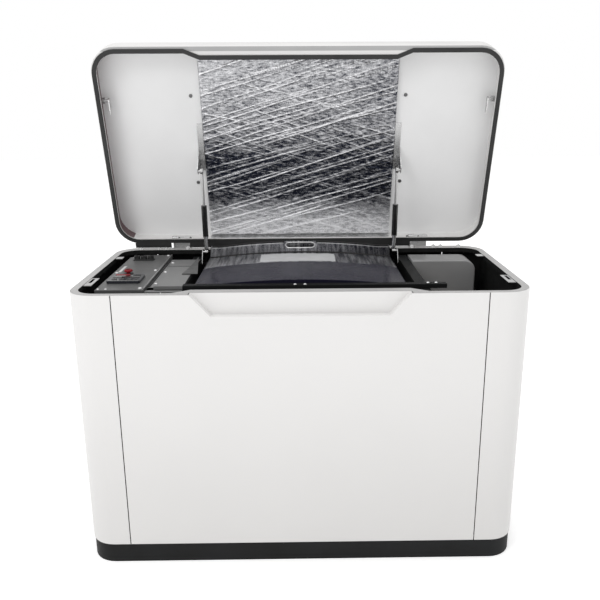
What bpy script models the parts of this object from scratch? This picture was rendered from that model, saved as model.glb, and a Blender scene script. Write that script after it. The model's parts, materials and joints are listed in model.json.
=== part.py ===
"""Home standby generator: sheet-metal enclosure with a gas-strut lid, control bay and gas engine set.

Frame: origin at the centre of the base's underside, +X to the right seen from the front, +Y to the
back, +Z up. The lid rests open on its gas struts.
"""
import math

import bmesh
import bpy
from mathutils import Matrix, Vector

# ---- cabinet -------------------------------------------------------------------------------------
WIDTH = 1.200
DEPTH = 0.610
RIM_TOP = 0.777
CORNER_RADIUS = 0.0736
CORNER_STEPS = 8
SHEET = 0.002
GAP = 0.0003
THROUGH = 0.010
BASE_HEIGHT = 0.057
BASE_INSET = 0.003
BASE_WALL = 0.003
BASE_FLANGE = 0.025
PANEL_FLANGE = 0.022
SEAM_SETBACK = 0.1202
SEAM_GAP = 0.002
RECESS_TOP_WIDTH = 0.565
RECESS_BOTTOM_WIDTH = 0.458
RECESS_HEIGHT = 0.058
RECESS_DEPTH = 0.022
RIM_WIDTH = 0.021
RIM_RETURN = 0.014
RIM_BACK_EXTRA = 0.017
RIM_NOTCH_EXTRA = 0.010
RIM_NOTCH_SLOPE = 0.045
SIDE_LOUVRE_FROM_MIDDLE = 0.090
LOUVRE_LENGTH = 0.110
LOUVRE_HEIGHT = 0.006
LOUVRE_PITCH = 0.024
BACK_LOUVRE_COLUMNS = 4
BACK_LOUVRE_ROWS = 7
BACK_LOUVRE_BOTTOM = 0.420
BACK_LOUVRE_SPACING = 0.150
SIDE_LOUVRE_ROWS = 8
SIDE_LOUVRE_BOTTOM = 0.300

# ---- lid -----------------------------------------------------------------------------------------
LID_OVERHANG = 0.002
LID_FRONT_OVERHANG = 0.010
LID_NOTCH = 0.018
LID_RISE = 0.064
LID_CLEARANCE = 0.004
LID_LIP = 0.017
LID_EDGE_ROUND = 0.004
LID_OPEN = math.radians(74.67)
GASKET_OUTER = 0.002
GASKET_WIDTH = 0.013
GASKET_FRONT_EXTRA = 0.004
FOIL_STRUT_CLEARANCE = 0.007
FOIL_THICKNESS = 0.020
FOIL_MARGIN = 0.006
HINGE_X = 0.395
HINGE_BEHIND = -0.003
HINGE_ABOVE = 0.034
HINGE_PIN_RADIUS = 0.003
HINGE_KNUCKLE_RADIUS = 0.0065
HINGE_LENGTH = 0.060
HINGE_LEAF_HEIGHT = 0.058
HINGE_PIN_HEAD = 0.002
HINGE_RELIEF = 0.002
HINGE_NOTCH_MARGIN = 0.003
HINGE_LEAF_THICKNESS = 0.0025

# ---- lid latches ---------------------------------------------------------------------------------
LATCH_FROM_FRONT = 0.150
LATCH_HEIGHT = 0.030
LATCH_SPINDLE_RADIUS = 0.004
LATCH_BARREL_RADIUS = 0.009
LATCH_BARREL_LENGTH = 0.022
LATCH_FLANGE_RADIUS = 0.013
LATCH_FLANGE_THICKNESS = 0.002
CAM_LENGTH = 0.042
CAM_WIDTH = 0.012
CAM_THICKNESS = 0.004
CAM_INBOARD = 0.032
KEEPER_SLOT_MARGIN = 0.0048
KEEPER_LENGTH = 0.080
KEEPER_REACH = 0.022
KEEPER_SLOT_WIDTH = 0.008
REAR_TAB_FROM_BACK = 0.153
REAR_TAB_LENGTH = 0.030

# ---- gas struts ----------------------------------------------------------------------------------
STRUT_X = 0.306
STRUT_FOOT_FROM_BACK = 0.065
STRUT_FOOT_BELOW_RIM = 0.002
STRUT_STUD_FROM_BACK = 0.247
STRUT_CYLINDER_RADIUS = 0.009
STRUT_NECK_RADIUS = 0.0065
STRUT_ROD_RADIUS = 0.004
STRUT_EYE_RADIUS = 0.009
STRUT_EYE_THICKNESS = 0.0084
STRUT_STUD_RADIUS = 0.004
STRUT_NECK_END = 0.050
STRUT_CYLINDER_END = 0.155
STRUT_BORE_START = 0.018
STRUT_ROD_LENGTH = 0.160
STRUT_BRACKET_THICKNESS = 0.002
STRUT_PLATE_OFFSET = 0.011
STRUT_FOOT_DROP = 0.045
LID_STRIP_GAP = 0.002
LID_STRIP_FRONT = 0.018
LID_STRIP_WIDTH = 0.018
LID_STRIP_LENGTH = 0.150
LID_FIN_LENGTH = 0.060

# ---- bays under the lid --------------------------------------------------------------------------
PARTITION_BELOW_DECK = 0.008
PARTITION_FLANGE = 0.030
PARTITION_END_CLEARANCE = 0.004
PARTITION_LEG = 0.043
PARTITION_ARCH = 0.520
DECK_BELOW_RIM = 0.012
DECK_SKIRT = 0.010
CONTROL_FROM_SIDE = 0.052
CONTROL_PANEL_WIDTH = 0.130
CONTROL_PANEL_FROM_FRONT = 0.100
CONTROL_PANEL_FROM_BACK = 0.060
INNER_PLATE_FROM_FRONT = 0.150
INNER_PLATE_FROM_BACK = 0.110
CONTROLLER_WIDTH = 0.092
CONTROLLER_FROM_EDGE = 0.0585
CONTROLLER_DEPTH = 0.080
CONTROLLER_HEIGHT = 0.007
CONTROLLER_FROM_FRONT = 0.210
CONTROLLER_CORNER_RADIUS = 0.006
CONTROLLER_BUTTON_FROM_EDGE = 0.012
CONTROLLER_BUTTON_RADIUS = 0.004
CONTROLLER_BUTTON_PROUD = 0.0025
CONTROLLER_BUTTON_DEPTH = 0.005
ESTOP_FROM_EDGE = 0.052
ESTOP_FROM_FRONT = 0.268
ESTOP_BASE_RADIUS = 0.014
ESTOP_BASE_HEIGHT = 0.0065
ESTOP_HEAD_RADIUS = 0.012
ESTOP_HEAD_HEIGHT = 0.007
ESTOP_STEM_RADIUS = 0.006
ESTOP_LIFT = 0.0045
SOCKET_FROM_BACK = 0.135
SOCKET_RADIUS = 0.0095
SOCKET_HEIGHT = 0.012
SOCKET_PITCH = 0.0215
SOCKET_HOLE_RADIUS = 0.006
SOCKET_PLATE_THICKNESS = 0.003
RAIL_HALF_LENGTH = 0.396
RAIL_FROM_FRONT = 0.122
RAIL_DEPTH = 0.0227
RAIL_HEIGHT = 0.012
COVER_STRUT_CLEARANCE = 0.003
COVER_FROM_BACK = 0.238
COVER_CROWN = 0.014
COVER_SKIRT = 0.030
COVER_SHOULDER = 0.007
COVER_SHOULDER_WIDTH = 0.040
DUCT_RIDGE_FROM_BACK = 0.095
DUCT_BACK_RISE = 0.013
DUCT_CROWN = 0.016
DUCT_SLOT_WIDTH = 0.086
DUCT_SLOT_HEIGHT = 0.022
DUCT_SLOT_FROM_EDGE = 0.010
ARCH_STEPS = 12
RIGHT_COVER_FROM_BACK = 0.085
RIGHT_COVER_DEPTH = 0.091
RIGHT_COVER_FROM_SIDE = 0.049
RIGHT_COVER_HEIGHT = 0.106
RIGHT_COVER_RADIUS = 0.035
RIGHT_COVER_FOLD = 0.003

# ---- engine set ----------------------------------------------------------------------------------
SHAFT_Z = 0.300
SHAFT_RADIUS = 0.020
SHAFT_END_RADIUS = 0.015
SHAFT_SHOULDER_PLAY = 0.005
CRADLE_LEFT = -0.500
CRADLE_RIGHT = 0.250
CRADLE_HALF_DEPTH = 0.170
CRADLE_RAIL = 0.045
CRADLE_BOTTOM = 0.048
CRADLE_HEIGHT = 0.030
MOUNT_RADIUS = 0.020
STATOR_LEFT = -0.490
STATOR_RIGHT = -0.1603
STATOR_RADIUS = 0.135
STATOR_BORE = 0.104
STATOR_END_WALL = 0.015
STATOR_FOOT_SETBACK = 0.010
STATOR_FOOT_HEIGHT = 0.012
STATOR_FOOT_NECK = 0.100
STATOR_FOOT_LENGTH = 0.050
AIR_GAP = 0.0015
ROTOR_LEFT = -0.450
ROTOR_RIGHT = -0.200
CRANKCASE_LEFT = -0.160
CRANKCASE_RIGHT = 0.100
CRANKCASE_HALF_DEPTH = 0.150
CRANKCASE_APEX_HALF = 0.032
CYLINDER_SEAT = 0.125
CYLINDER_LENGTH = 0.165
CYLINDER_RADIUS = 0.046
FIN_RADIUS = 0.060
FIN_COUNT = 7
CYLINDER_STAGGER = 0.022
CYLINDER_X = -0.025
BLOWER_RIGHT = 0.240
BLOWER_RADIUS = 0.147
BLOWER_INTAKE = 0.080
FLYWHEEL_LEFT = 0.135
FLYWHEEL_RADIUS = 0.130
FLYWHEEL_THICKNESS = 0.022
FAN_BLADES = 12
FAN_BLADE_SETBACK = 0.010
FAN_BLADE_ROOT = 0.004
FAN_BLADE_LENGTH = 0.045
FAN_BLADE_WIDTH = 0.030
FAN_BLADE_THICKNESS = 0.004
SHAFT_RIGHT = 0.195
CLEANER_BOTTOM = 0.555
CLEANER_HEIGHT = 0.085
CLEANER_HALF_DEPTH = 0.095
CLEANER_HALF_WIDTH = 0.110
CLEANER_ROUNDING = 0.012
CLEANER_NECK = 0.026
MUFFLER_ROUNDING = 0.020
MUFFLER_LENGTH = 0.180
MUFFLER_HALF_DEPTH = 0.165
MUFFLER_BOTTOM = 0.510
MUFFLER_HEIGHT = 0.135
PIPE_RADIUS = 0.016
PIPE_RUN_X = 0.350
PIPE_DROP = 0.045
PIPE_STEPS = 8
REGULATOR_X = -0.210
REGULATOR_Z = 0.330
REGULATOR_DOME = 0.020
REGULATOR_SLOPE = 0.005
REGULATOR_RIM = 0.010
REGULATOR_RADIUS = 0.055
REGULATOR_DEPTH = 0.060
INLET_X = -0.210
INLET_Z = 0.200
INLET_RADIUS = 0.012
INLET_HOLE_RADIUS = 0.006
INLET_INSIDE = 0.030
INLET_FLANGE_THICKNESS = 0.004
VALVE_OFFSET = 0.003
VALVE_POST_RADIUS = 0.006
VALVE_POST_PROUD = 0.004
INLET_FLANGE_RADIUS = 0.024
INLET_BODY = 0.030
INLET_REACH = 0.036
LEVER_LENGTH = 0.060
LEVER_WIDTH = 0.012
LEVER_THICKNESS = 0.003
BATTERY_LEFT = 0.365
BATTERY_WIDTH = 0.165
BATTERY_HALF_DEPTH = 0.090
BATTERY_HEIGHT = 0.175
BATTERY_POST_FROM_EDGE = 0.025
BATTERY_POST_ROOT = 0.002
BATTERY_POST_RADIUS = 0.008
BATTERY_POST_HEIGHT = 0.014

# ---- derived places ------------------------------------------------------------------------------
SEAM_X = WIDTH / 2 - SEAM_SETBACK
FRONT = -DEPTH / 2
BACK = DEPTH / 2
PANEL_BOTTOM = BASE_HEIGHT + GAP
LID_PLANE = RIM_TOP + LID_CLEARANCE
LID_TOP = LID_PLANE + LID_RISE
HINGE = Vector((0, BACK + HINGE_BEHIND, RIM_TOP + HINGE_ABOVE))
LATCH_Z = LID_PLANE + LATCH_HEIGHT
LID_SIDE = WIDTH / 2 + LID_OVERHANG
LID_FRONT = FRONT - LID_FRONT_OVERHANG
LID_BACK = BACK + LID_OVERHANG
STRUT_FOOT = Vector((0, BACK - STRUT_FOOT_FROM_BACK, RIM_TOP - STRUT_FOOT_BELOW_RIM))
STUD_CLOSED = Vector((0, BACK - STRUT_STUD_FROM_BACK, LID_PLANE))
LATCH_Y = FRONT + LATCH_FROM_FRONT
REAR_TAB_Y = BACK - REAR_TAB_FROM_BACK
DECK_TOP = RIM_TOP - DECK_BELOW_RIM
PARTITION_TOP = DECK_TOP - PARTITION_BELOW_DECK
PARTITION_X = STRUT_X + STRUT_PLATE_OFFSET + STRUT_BRACKET_THICKNESS + GAP + SHEET / 2
PARTITION_HALF_DEPTH = DEPTH / 2 - BASE_INSET - BASE_FLANGE - PARTITION_END_CLEARANCE
CONTROL_PANEL_FRONT = FRONT + CONTROL_PANEL_FROM_FRONT
CONTROL_PANEL_BACK = BACK - CONTROL_PANEL_FROM_BACK
INNER_PLATE_FRONT = FRONT + INNER_PLATE_FROM_FRONT
INNER_PLATE_BACK = BACK - INNER_PLATE_FROM_BACK
CONTROLLER_Y = FRONT + CONTROLLER_FROM_FRONT
ESTOP_Y = FRONT + ESTOP_FROM_FRONT
SOCKET_Y = BACK - SOCKET_FROM_BACK
RAIL_FRONT = FRONT + RAIL_FROM_FRONT
COVER_HALF_WIDTH = STRUT_X - STRUT_CYLINDER_RADIUS - COVER_STRUT_CLEARANCE
COVER_BACK = BACK - COVER_FROM_BACK
DUCT_RIDGE = BACK - DUCT_RIDGE_FROM_BACK
RIGHT_COVER_BACK = BACK - RIGHT_COVER_FROM_BACK
RIGHT_COVER_FRONT = RIGHT_COVER_BACK - RIGHT_COVER_DEPTH
RIGHT_COVER_END = WIDTH / 2 - RIGHT_COVER_FROM_SIDE
FOIL_WIDTH = 2 * (STRUT_X - FOIL_STRUT_CLEARANCE)
CONTROL_LEFT = -WIDTH / 2 + CONTROL_FROM_SIDE
CONTROL_RIGHT = CONTROL_LEFT + CONTROL_PANEL_WIDTH
FLOOR = BASE_WALL + GAP
CRADLE_TOP = CRADLE_BOTTOM + CRADLE_HEIGHT

COLOURS = {
    "white": ((0.86, 0.86, 0.85), 0.35, 0.0),
    "black": ((0.015, 0.015, 0.018), 0.45, 0.0),
    "rubber": ((0.01, 0.01, 0.01), 0.8, 0.0),
    "rim": ((0.35, 0.36, 0.38), 0.45, 0.3),
    "foil": ((0.75, 0.76, 0.78), 0.25, 1.0),
    "steel": ((0.6, 0.6, 0.61), 0.3, 1.0),
    "panel": ((0.08, 0.085, 0.09), 0.5, 0.0),
    "navy": ((0.012, 0.016, 0.03), 0.2, 0.0),
    "grey": ((0.25, 0.26, 0.27), 0.4, 0.0),
    "red": ((0.6, 0.02, 0.02), 0.35, 0.0),
    "cast": ((0.35, 0.35, 0.36), 0.55, 0.8),
    "iron": ((0.12, 0.12, 0.13), 0.6, 0.6),
    "brass": ((0.6, 0.45, 0.18), 0.35, 1.0),
}


# ---- modelling helpers ---------------------------------------------------------------------------
def clear_scene():
    for item in list(bpy.data.objects):
        bpy.data.objects.remove(item, do_unlink=True)


def material(name, finish):
    colour, roughness, metallic = COLOURS[finish]
    result = bpy.data.materials.new(name)
    result.use_nodes = True
    shader = result.node_tree.nodes["Principled BSDF"]
    shader.inputs["Base Color"].default_value = (*colour, 1.0)
    shader.inputs["Roughness"].default_value = roughness
    shader.inputs["Metallic"].default_value = metallic
    return result


def mesh_object(name, bm):
    bmesh.ops.recalc_face_normals(bm, faces=bm.faces)
    mesh = bpy.data.meshes.new(name)
    bm.to_mesh(mesh)
    bm.free()
    result = bpy.data.objects.new(name, mesh)
    bpy.context.collection.objects.link(result)
    return result


def boolean(target, bm, operation):
    tool = mesh_object(f"{target.name}_{operation.lower()}_{len(target.modifiers)}", bm)
    tool.hide_render = True
    tool.display_type = "WIRE"
    tool.parent = target.parent
    tool.matrix_parent_inverse = target.matrix_parent_inverse
    tool.matrix_basis = target.matrix_basis
    step = target.modifiers.new(operation.title(), "BOOLEAN")
    step.operation = operation
    step.object = tool
    step.solver = "EXACT"


def solid(name, finish, body, add=(), cut=(), parent=None, smooth=False):
    """One sub-part: a body mesh, pieces united with it and pieces cut from it, in that order."""
    result = mesh_object(name, body)
    result.parent = parent
    result.data.materials.append(material(name, finish))
    for piece in add:
        boolean(result, piece, "UNION")
    for piece in cut:
        boolean(result, piece, "DIFFERENCE")
    if smooth:
        result.data.shade_smooth()
        result.data.set_sharp_from_angle(angle=math.radians(35))
    return result


def pivot(name, place, turn):
    """An empty on a joint's axis, turned about X, for the pieces that move with it."""
    result = bpy.data.objects.new(name, None)
    result.location = place
    result.rotation_euler = (turn, 0, 0)
    bpy.context.collection.objects.link(result)
    return result


def box(low, high):
    bm = bmesh.new()
    bmesh.ops.create_cube(bm, size=1.0)
    low = Vector(low)
    high = Vector(high)
    size = [abs(b - a) for a, b in zip(low, high)]
    bmesh.ops.scale(bm, vec=size, verts=bm.verts)
    bmesh.ops.translate(bm, vec=(low + high) / 2, verts=bm.verts)
    return bm


def boxes(pairs):
    """Several separate boxes in one mesh."""
    bm = bmesh.new()
    for low, high in pairs:
        part = box(low, high)
        copy = bpy.data.meshes.new("box")
        part.to_mesh(copy)
        part.free()
        bm.from_mesh(copy)
        bpy.data.meshes.remove(copy)
    return bm


def prism(outline_yz, x_low, x_high):
    """An outline in the YZ plane, drawn out along X."""
    bm = bmesh.new()
    face = bm.faces.new([bm.verts.new((x_low, y, z)) for y, z in outline_yz])
    drawn = bmesh.ops.extrude_face_region(bm, geom=[face])
    moved = [item for item in drawn["geom"] if isinstance(item, bmesh.types.BMVert)]
    bmesh.ops.translate(bm, vec=(x_high - x_low, 0, 0), verts=moved)
    return bm


def turned(profile, centre, axis, segments=24):
    """A profile of (radius, distance) points spun about an axis; a zero radius closes on the axis."""
    bm = bmesh.new()
    rings = []
    for radius, height in profile:
        if radius == 0:
            rings.append([bm.verts.new((0, 0, height))])
            continue
        angles = [2 * math.pi * step / segments for step in range(segments)]
        rings.append([bm.verts.new((radius * math.cos(a), radius * math.sin(a), height)) for a in angles])
    closed = len(rings[0]) > 1
    pairs = list(zip(rings, rings[1:]))
    if closed:
        pairs.append((rings[-1], rings[0]))
    for low, high in pairs:
        span(bm, low, high, True)
    turn = Vector((0, 0, 1)).rotation_difference(Vector(axis)).to_matrix().to_4x4()
    bmesh.ops.transform(bm, matrix=Matrix.Translation(centre) @ turn, verts=bm.verts)
    return bm


def rod(radius, start, axis, length, segments=24):
    return turned([(0, 0), (radius, 0), (radius, length), (0, length)], start, axis, segments)


def tube(radius, bore, start, axis, length, segments=24):
    return turned([(bore, 0), (radius, 0), (radius, length), (bore, length)], start, axis, segments)


def span(bm, low, high, around):
    """Faces between two rows of vertices; a row of one vertex makes a fan."""
    count = max(len(low), len(high))
    last = count if around else count - 1
    for index in range(last):
        following = (index + 1) % count
        if len(low) == 1:
            bm.faces.new((low[0], high[index], high[following]))
        elif len(high) == 1:
            bm.faces.new((low[index], high[0], low[following]))
        else:
            bm.faces.new((low[index], high[index], high[following], low[following]))


def skin(rows, around=True, closed_section=False):
    """A body through rows of points: capped first and last, or joined last to first."""
    bm = bmesh.new()
    grid = [[bm.verts.new(point) for point in row] for row in rows]
    pairs = list(zip(grid, grid[1:]))
    if closed_section:
        pairs.append((grid[-1], grid[0]))
    for low, high in pairs:
        span(bm, low, high, around)
    if not closed_section:
        bm.faces.new(grid[0])
        bm.faces.new(grid[-1])
    if not around:
        bm.faces.new([row[0] for row in grid])
        bm.faces.new([row[-1] for row in grid])
    return bm


def corner(centre_x, centre_y, radius, start):
    angles = [start + math.pi / 2 * step / CORNER_STEPS for step in range(CORNER_STEPS + 1)]
    return [(centre_x + radius * math.cos(a), centre_y + radius * math.sin(a)) for a in angles]


def outline(inset, height, notch=0.0, slope=0.0, back_extra=0.0, front_extra=0.0):
    """The cabinet's rounded outline, set in by `inset`, with the front recess stepping it back."""
    half_x = WIDTH / 2 - inset
    front = FRONT + inset + front_extra
    back = BACK - inset - back_extra
    radius = CORNER_RADIUS - inset
    edge = RECESS_TOP_WIDTH / 2 + SHEET + GAP
    step = [(-edge - slope, front), (-edge, front + notch), (edge, front + notch), (edge + slope, front)]
    right_front = corner(half_x - radius, front + radius, radius, -math.pi / 2)
    right_back = corner(half_x - radius, back - radius, radius, 0)
    left_back = corner(-half_x + radius, back - radius, radius, math.pi / 2)
    left_front = corner(-half_x + radius, front + radius, radius, math.pi)
    points = step + right_front + right_back + left_back + left_front
    return [(x, y, height) for x, y in points]


def side_path(side, inset, height):
    """The part of the outline beyond the seam on one side, front to back."""
    radius = CORNER_RADIUS - inset
    centre = WIDTH / 2 - CORNER_RADIUS
    start = SEAM_X + SEAM_GAP / 2
    middle = corner(centre, FRONT + CORNER_RADIUS, radius, -math.pi / 2)
    middle += corner(centre, BACK - CORNER_RADIUS, radius, 0)
    points = [(start, FRONT + inset)] + middle + [(start, BACK - inset)]
    return [(side * x, y, height) for x, y in points]


# ---- cabinet -------------------------------------------------------------------------------------
def base_tray():
    outer = BASE_INSET
    inner = BASE_INSET + BASE_WALL
    lip = BASE_INSET + BASE_FLANGE
    rows = [
        outline(outer, 0),
        outline(outer, BASE_HEIGHT),
        outline(lip, BASE_HEIGHT),
        outline(lip, BASE_HEIGHT - BASE_WALL),
        outline(inner, BASE_HEIGHT - BASE_WALL),
        outline(inner, BASE_WALL),
    ]
    solid("base_tray", "black", skin(rows), smooth=True)


def side_louvres(side):
    wall = side * WIDTH / 2
    rows = []
    for row in range(SIDE_LOUVRE_ROWS):
        low = SIDE_LOUVRE_BOTTOM + row * LOUVRE_PITCH
        for start in (-SIDE_LOUVRE_FROM_MIDDLE - LOUVRE_LENGTH, SIDE_LOUVRE_FROM_MIDDLE):
            high = (wall + THROUGH, start + LOUVRE_LENGTH, low + LOUVRE_HEIGHT)
            rows.append(((wall - THROUGH, start, low), high))
    return boxes(rows)


def side_panel(name, side):
    rows = [
        side_path(side, 0, PANEL_BOTTOM),
        side_path(side, 0, RIM_TOP),
        side_path(side, SHEET, RIM_TOP),
        side_path(side, SHEET, PANEL_BOTTOM + SHEET),
        side_path(side, PANEL_FLANGE, PANEL_BOTTOM + SHEET),
        side_path(side, PANEL_FLANGE, PANEL_BOTTOM),
    ]
    body = skin(rows, around=False, closed_section=True)
    solid(name, "white", body, cut=[side_louvres(side)], smooth=True)


def front_panel():
    """A folded sheet: face, stepped recess with its back wall and ledge, and a bottom flange."""
    half = SEAM_X - SEAM_GAP / 2
    top = RECESS_TOP_WIDTH / 2
    low = RECESS_BOTTOM_WIDTH / 2
    ledge = RIM_TOP - RECESS_HEIGHT
    inner = FRONT + RECESS_DEPTH
    bm = bmesh.new()
    left_low = bm.verts.new((-half, FRONT, PANEL_BOTTOM))
    right_low = bm.verts.new((half, FRONT, PANEL_BOTTOM))
    right_top = bm.verts.new((half, FRONT, RIM_TOP))
    left_top = bm.verts.new((-half, FRONT, RIM_TOP))
    steps = [(top, RIM_TOP), (low, ledge), (-low, ledge), (-top, RIM_TOP)]
    face = [bm.verts.new((x, FRONT, z)) for x, z in steps]
    deep = [bm.verts.new((x, inner, z)) for x, z in steps]
    bm.faces.new([left_low, right_low, right_top, *face, left_top])
    for first in range(3):
        bm.faces.new((face[first], face[first + 1], deep[first + 1], deep[first]))
    bm.faces.new(deep)
    foot = [bm.verts.new((x, FRONT + PANEL_FLANGE, PANEL_BOTTOM)) for x in (-half, half)]
    bm.faces.new((left_low, right_low, foot[1], foot[0]))
    bmesh.ops.recalc_face_normals(bm, faces=bm.faces)
    mesh = bpy.data.meshes.new("front_panel")
    bm.to_mesh(mesh)
    bm.free()
    panel = bpy.data.objects.new("front_panel", mesh)
    bpy.context.collection.objects.link(panel)
    mesh.materials.append(material("front_panel", "white"))
    thicken = panel.modifiers.new("Sheet", "SOLIDIFY")
    thicken.thickness = SHEET
    thicken.offset = -1 if mesh.polygons[0].normal.y < 0 else 1
    thicken.solidify_mode = "NON_MANIFOLD"
    thicken.nonmanifold_thickness_mode = "CONSTRAINTS"


def back_panel():
    half = SEAM_X - SEAM_GAP / 2
    foot = BACK - PANEL_FLANGE
    section = [
        (BACK, PANEL_BOTTOM),
        (BACK, RIM_TOP),
        (BACK - SHEET, RIM_TOP),
        (BACK - SHEET, PANEL_BOTTOM + SHEET),
        (foot, PANEL_BOTTOM + SHEET),
        (foot, PANEL_BOTTOM),
    ]
    slots = []
    first = -BACK_LOUVRE_SPACING * (BACK_LOUVRE_COLUMNS - 1) / 2
    for column in range(BACK_LOUVRE_COLUMNS):
        start = first + column * BACK_LOUVRE_SPACING - LOUVRE_LENGTH / 2
        for row in range(BACK_LOUVRE_ROWS):
            low = BACK_LOUVRE_BOTTOM + row * LOUVRE_PITCH
            high = (start + LOUVRE_LENGTH, BACK + THROUGH, low + LOUVRE_HEIGHT)
            slots.append(((start, BACK - THROUGH, low), high))
    pipe_hole = rod(INLET_RADIUS + GAP, (INLET_X, BACK - THROUGH, INLET_Z), (0, 1, 0), 2 * THROUGH)
    solid("back_panel", "white", prism(section, -half, half), cut=[boxes(slots), pipe_hole])


def top_rim():
    """Flange ring with a turned-down inner edge, a keeper with a cam slot and a rear tab each side."""
    outer = SHEET + GAP
    inner = RIM_WIDTH
    deep = RECESS_DEPTH + RIM_NOTCH_EXTRA
    fold = {"notch": deep, "slope": RIM_NOTCH_SLOPE, "back_extra": RIM_BACK_EXTRA}
    rows = [
        outline(outer, RIM_TOP, notch=RECESS_DEPTH),
        outline(inner, RIM_TOP, **fold),
        outline(inner, RIM_TOP - RIM_RETURN, **fold),
        outline(inner - SHEET, RIM_TOP - RIM_RETURN, **fold),
        outline(inner - SHEET, RIM_TOP - SHEET, **fold),
        outline(outer, RIM_TOP - SHEET, notch=RECESS_DEPTH),
    ]
    tab_top = RIM_TOP - SHEET / 2
    tab_low = tab_top - SHEET
    edge = WIDTH / 2 - RIM_WIDTH
    slot_middle = WIDTH / 2 - CAM_INBOARD + CAM_THICKNESS / 2
    tabs = []
    slots = []
    for side in (-1, 1):
        for y, length in ((LATCH_Y, KEEPER_LENGTH), (REAR_TAB_Y, REAR_TAB_LENGTH)):
            near = side * (edge + RIM_WIDTH / 2)
            far = side * (edge - KEEPER_REACH)
            tabs.append(((far, y - length / 2, tab_low), (near, y + length / 2, tab_top)))
        slot_end = LATCH_Y + KEEPER_LENGTH / 2 - KEEPER_SLOT_MARGIN
        low = (side * slot_middle - KEEPER_SLOT_WIDTH / 2, LATCH_Y - CAM_WIDTH, RIM_TOP - THROUGH)
        high = (side * slot_middle + KEEPER_SLOT_WIDTH / 2, slot_end, RIM_TOP + THROUGH)
        slots.append((low, high))
    body = skin(rows, closed_section=True)
    solid("top_rim", "rim", body, add=[boxes(tabs)], cut=[boxes(slots)])


# ---- lid: modelled shut about the hinge line, then turned open ------------------------------------
def in_lid(bm):
    bmesh.ops.translate(bm, vec=-HINGE, verts=bm.verts)
    return bm


def lid_outline(inset, height, **shape):
    """The lid's outline: the cabinet's with a small overhang, a little more at the front."""
    front_extra = LID_OVERHANG - LID_FRONT_OVERHANG + shape.pop("front_extra", 0)
    return outline(inset - LID_OVERHANG, height, front_extra=front_extra, **shape)


def lid_shell(frame):
    lip = {"notch": LID_NOTCH, "slope": RIM_NOTCH_SLOPE}
    rows = [
        lid_outline(LID_EDGE_ROUND, LID_TOP),
        lid_outline(LID_EDGE_ROUND * 0.3, LID_TOP - LID_EDGE_ROUND * 0.3),
        lid_outline(0, LID_TOP - LID_EDGE_ROUND),
        lid_outline(0, LID_PLANE),
        lid_outline(LID_LIP, LID_PLANE, **lip),
        lid_outline(LID_LIP, LID_PLANE + SHEET, **lip),
        lid_outline(SHEET, LID_PLANE + SHEET),
        lid_outline(SHEET, LID_TOP - SHEET),
    ]
    radius = LATCH_BARREL_RADIUS + GAP
    half = HINGE_LENGTH / 2 + HINGE_NOTCH_MARGIN
    notch_top = HINGE.z + HINGE_KNUCKLE_RADIUS + HINGE_RELIEF
    cuts = []
    for side in (-1, 1):
        start = (side * (LID_SIDE - THROUGH), LATCH_Y, LATCH_Z)
        cuts.append(in_lid(rod(radius, start, (side, 0, 0), 2 * THROUGH)))
        low = (side * HINGE_X - half, BACK - HINGE_RELIEF, LID_PLANE - THROUGH)
        cuts.append(in_lid(box(low, (side * HINGE_X + half, LID_BACK + THROUGH, notch_top))))
    solid("lid_shell", "white", in_lid(skin(rows)), cut=cuts, parent=frame, smooth=True)


def lid_gasket(frame):
    shape = {"notch": LID_NOTCH, "slope": RIM_NOTCH_SLOPE, "front_extra": GASKET_FRONT_EXTRA}
    top = LID_PLANE - GAP
    low = RIM_TOP + GAP
    inner = GASKET_OUTER + GASKET_WIDTH
    rows = [
        lid_outline(GASKET_OUTER, low, **shape),
        lid_outline(GASKET_OUTER, top, **shape),
        lid_outline(inner, top, **shape),
        lid_outline(inner, low, **shape),
    ]
    solid("lid_gasket", "rubber", in_lid(skin(rows, closed_section=True)), parent=frame, smooth=True)


def lid_foil_pad(frame):
    top = LID_TOP - SHEET - GAP
    half = FOIL_WIDTH / 2
    low = (-half, LID_FRONT + SHEET + FOIL_MARGIN, top - FOIL_THICKNESS)
    high = (half, LID_BACK - SHEET - FOIL_MARGIN, top)
    solid("lid_foil_pad", "foil", in_lid(box(low, high)), parent=frame)


def hinge_knuckle(x_low, x_high):
    centre = (x_low, HINGE.y, HINGE.z)
    return tube(HINGE_KNUCKLE_RADIUS, HINGE_PIN_RADIUS + GAP, centre, (1, 0, 0), x_high - x_low, 20)


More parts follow.
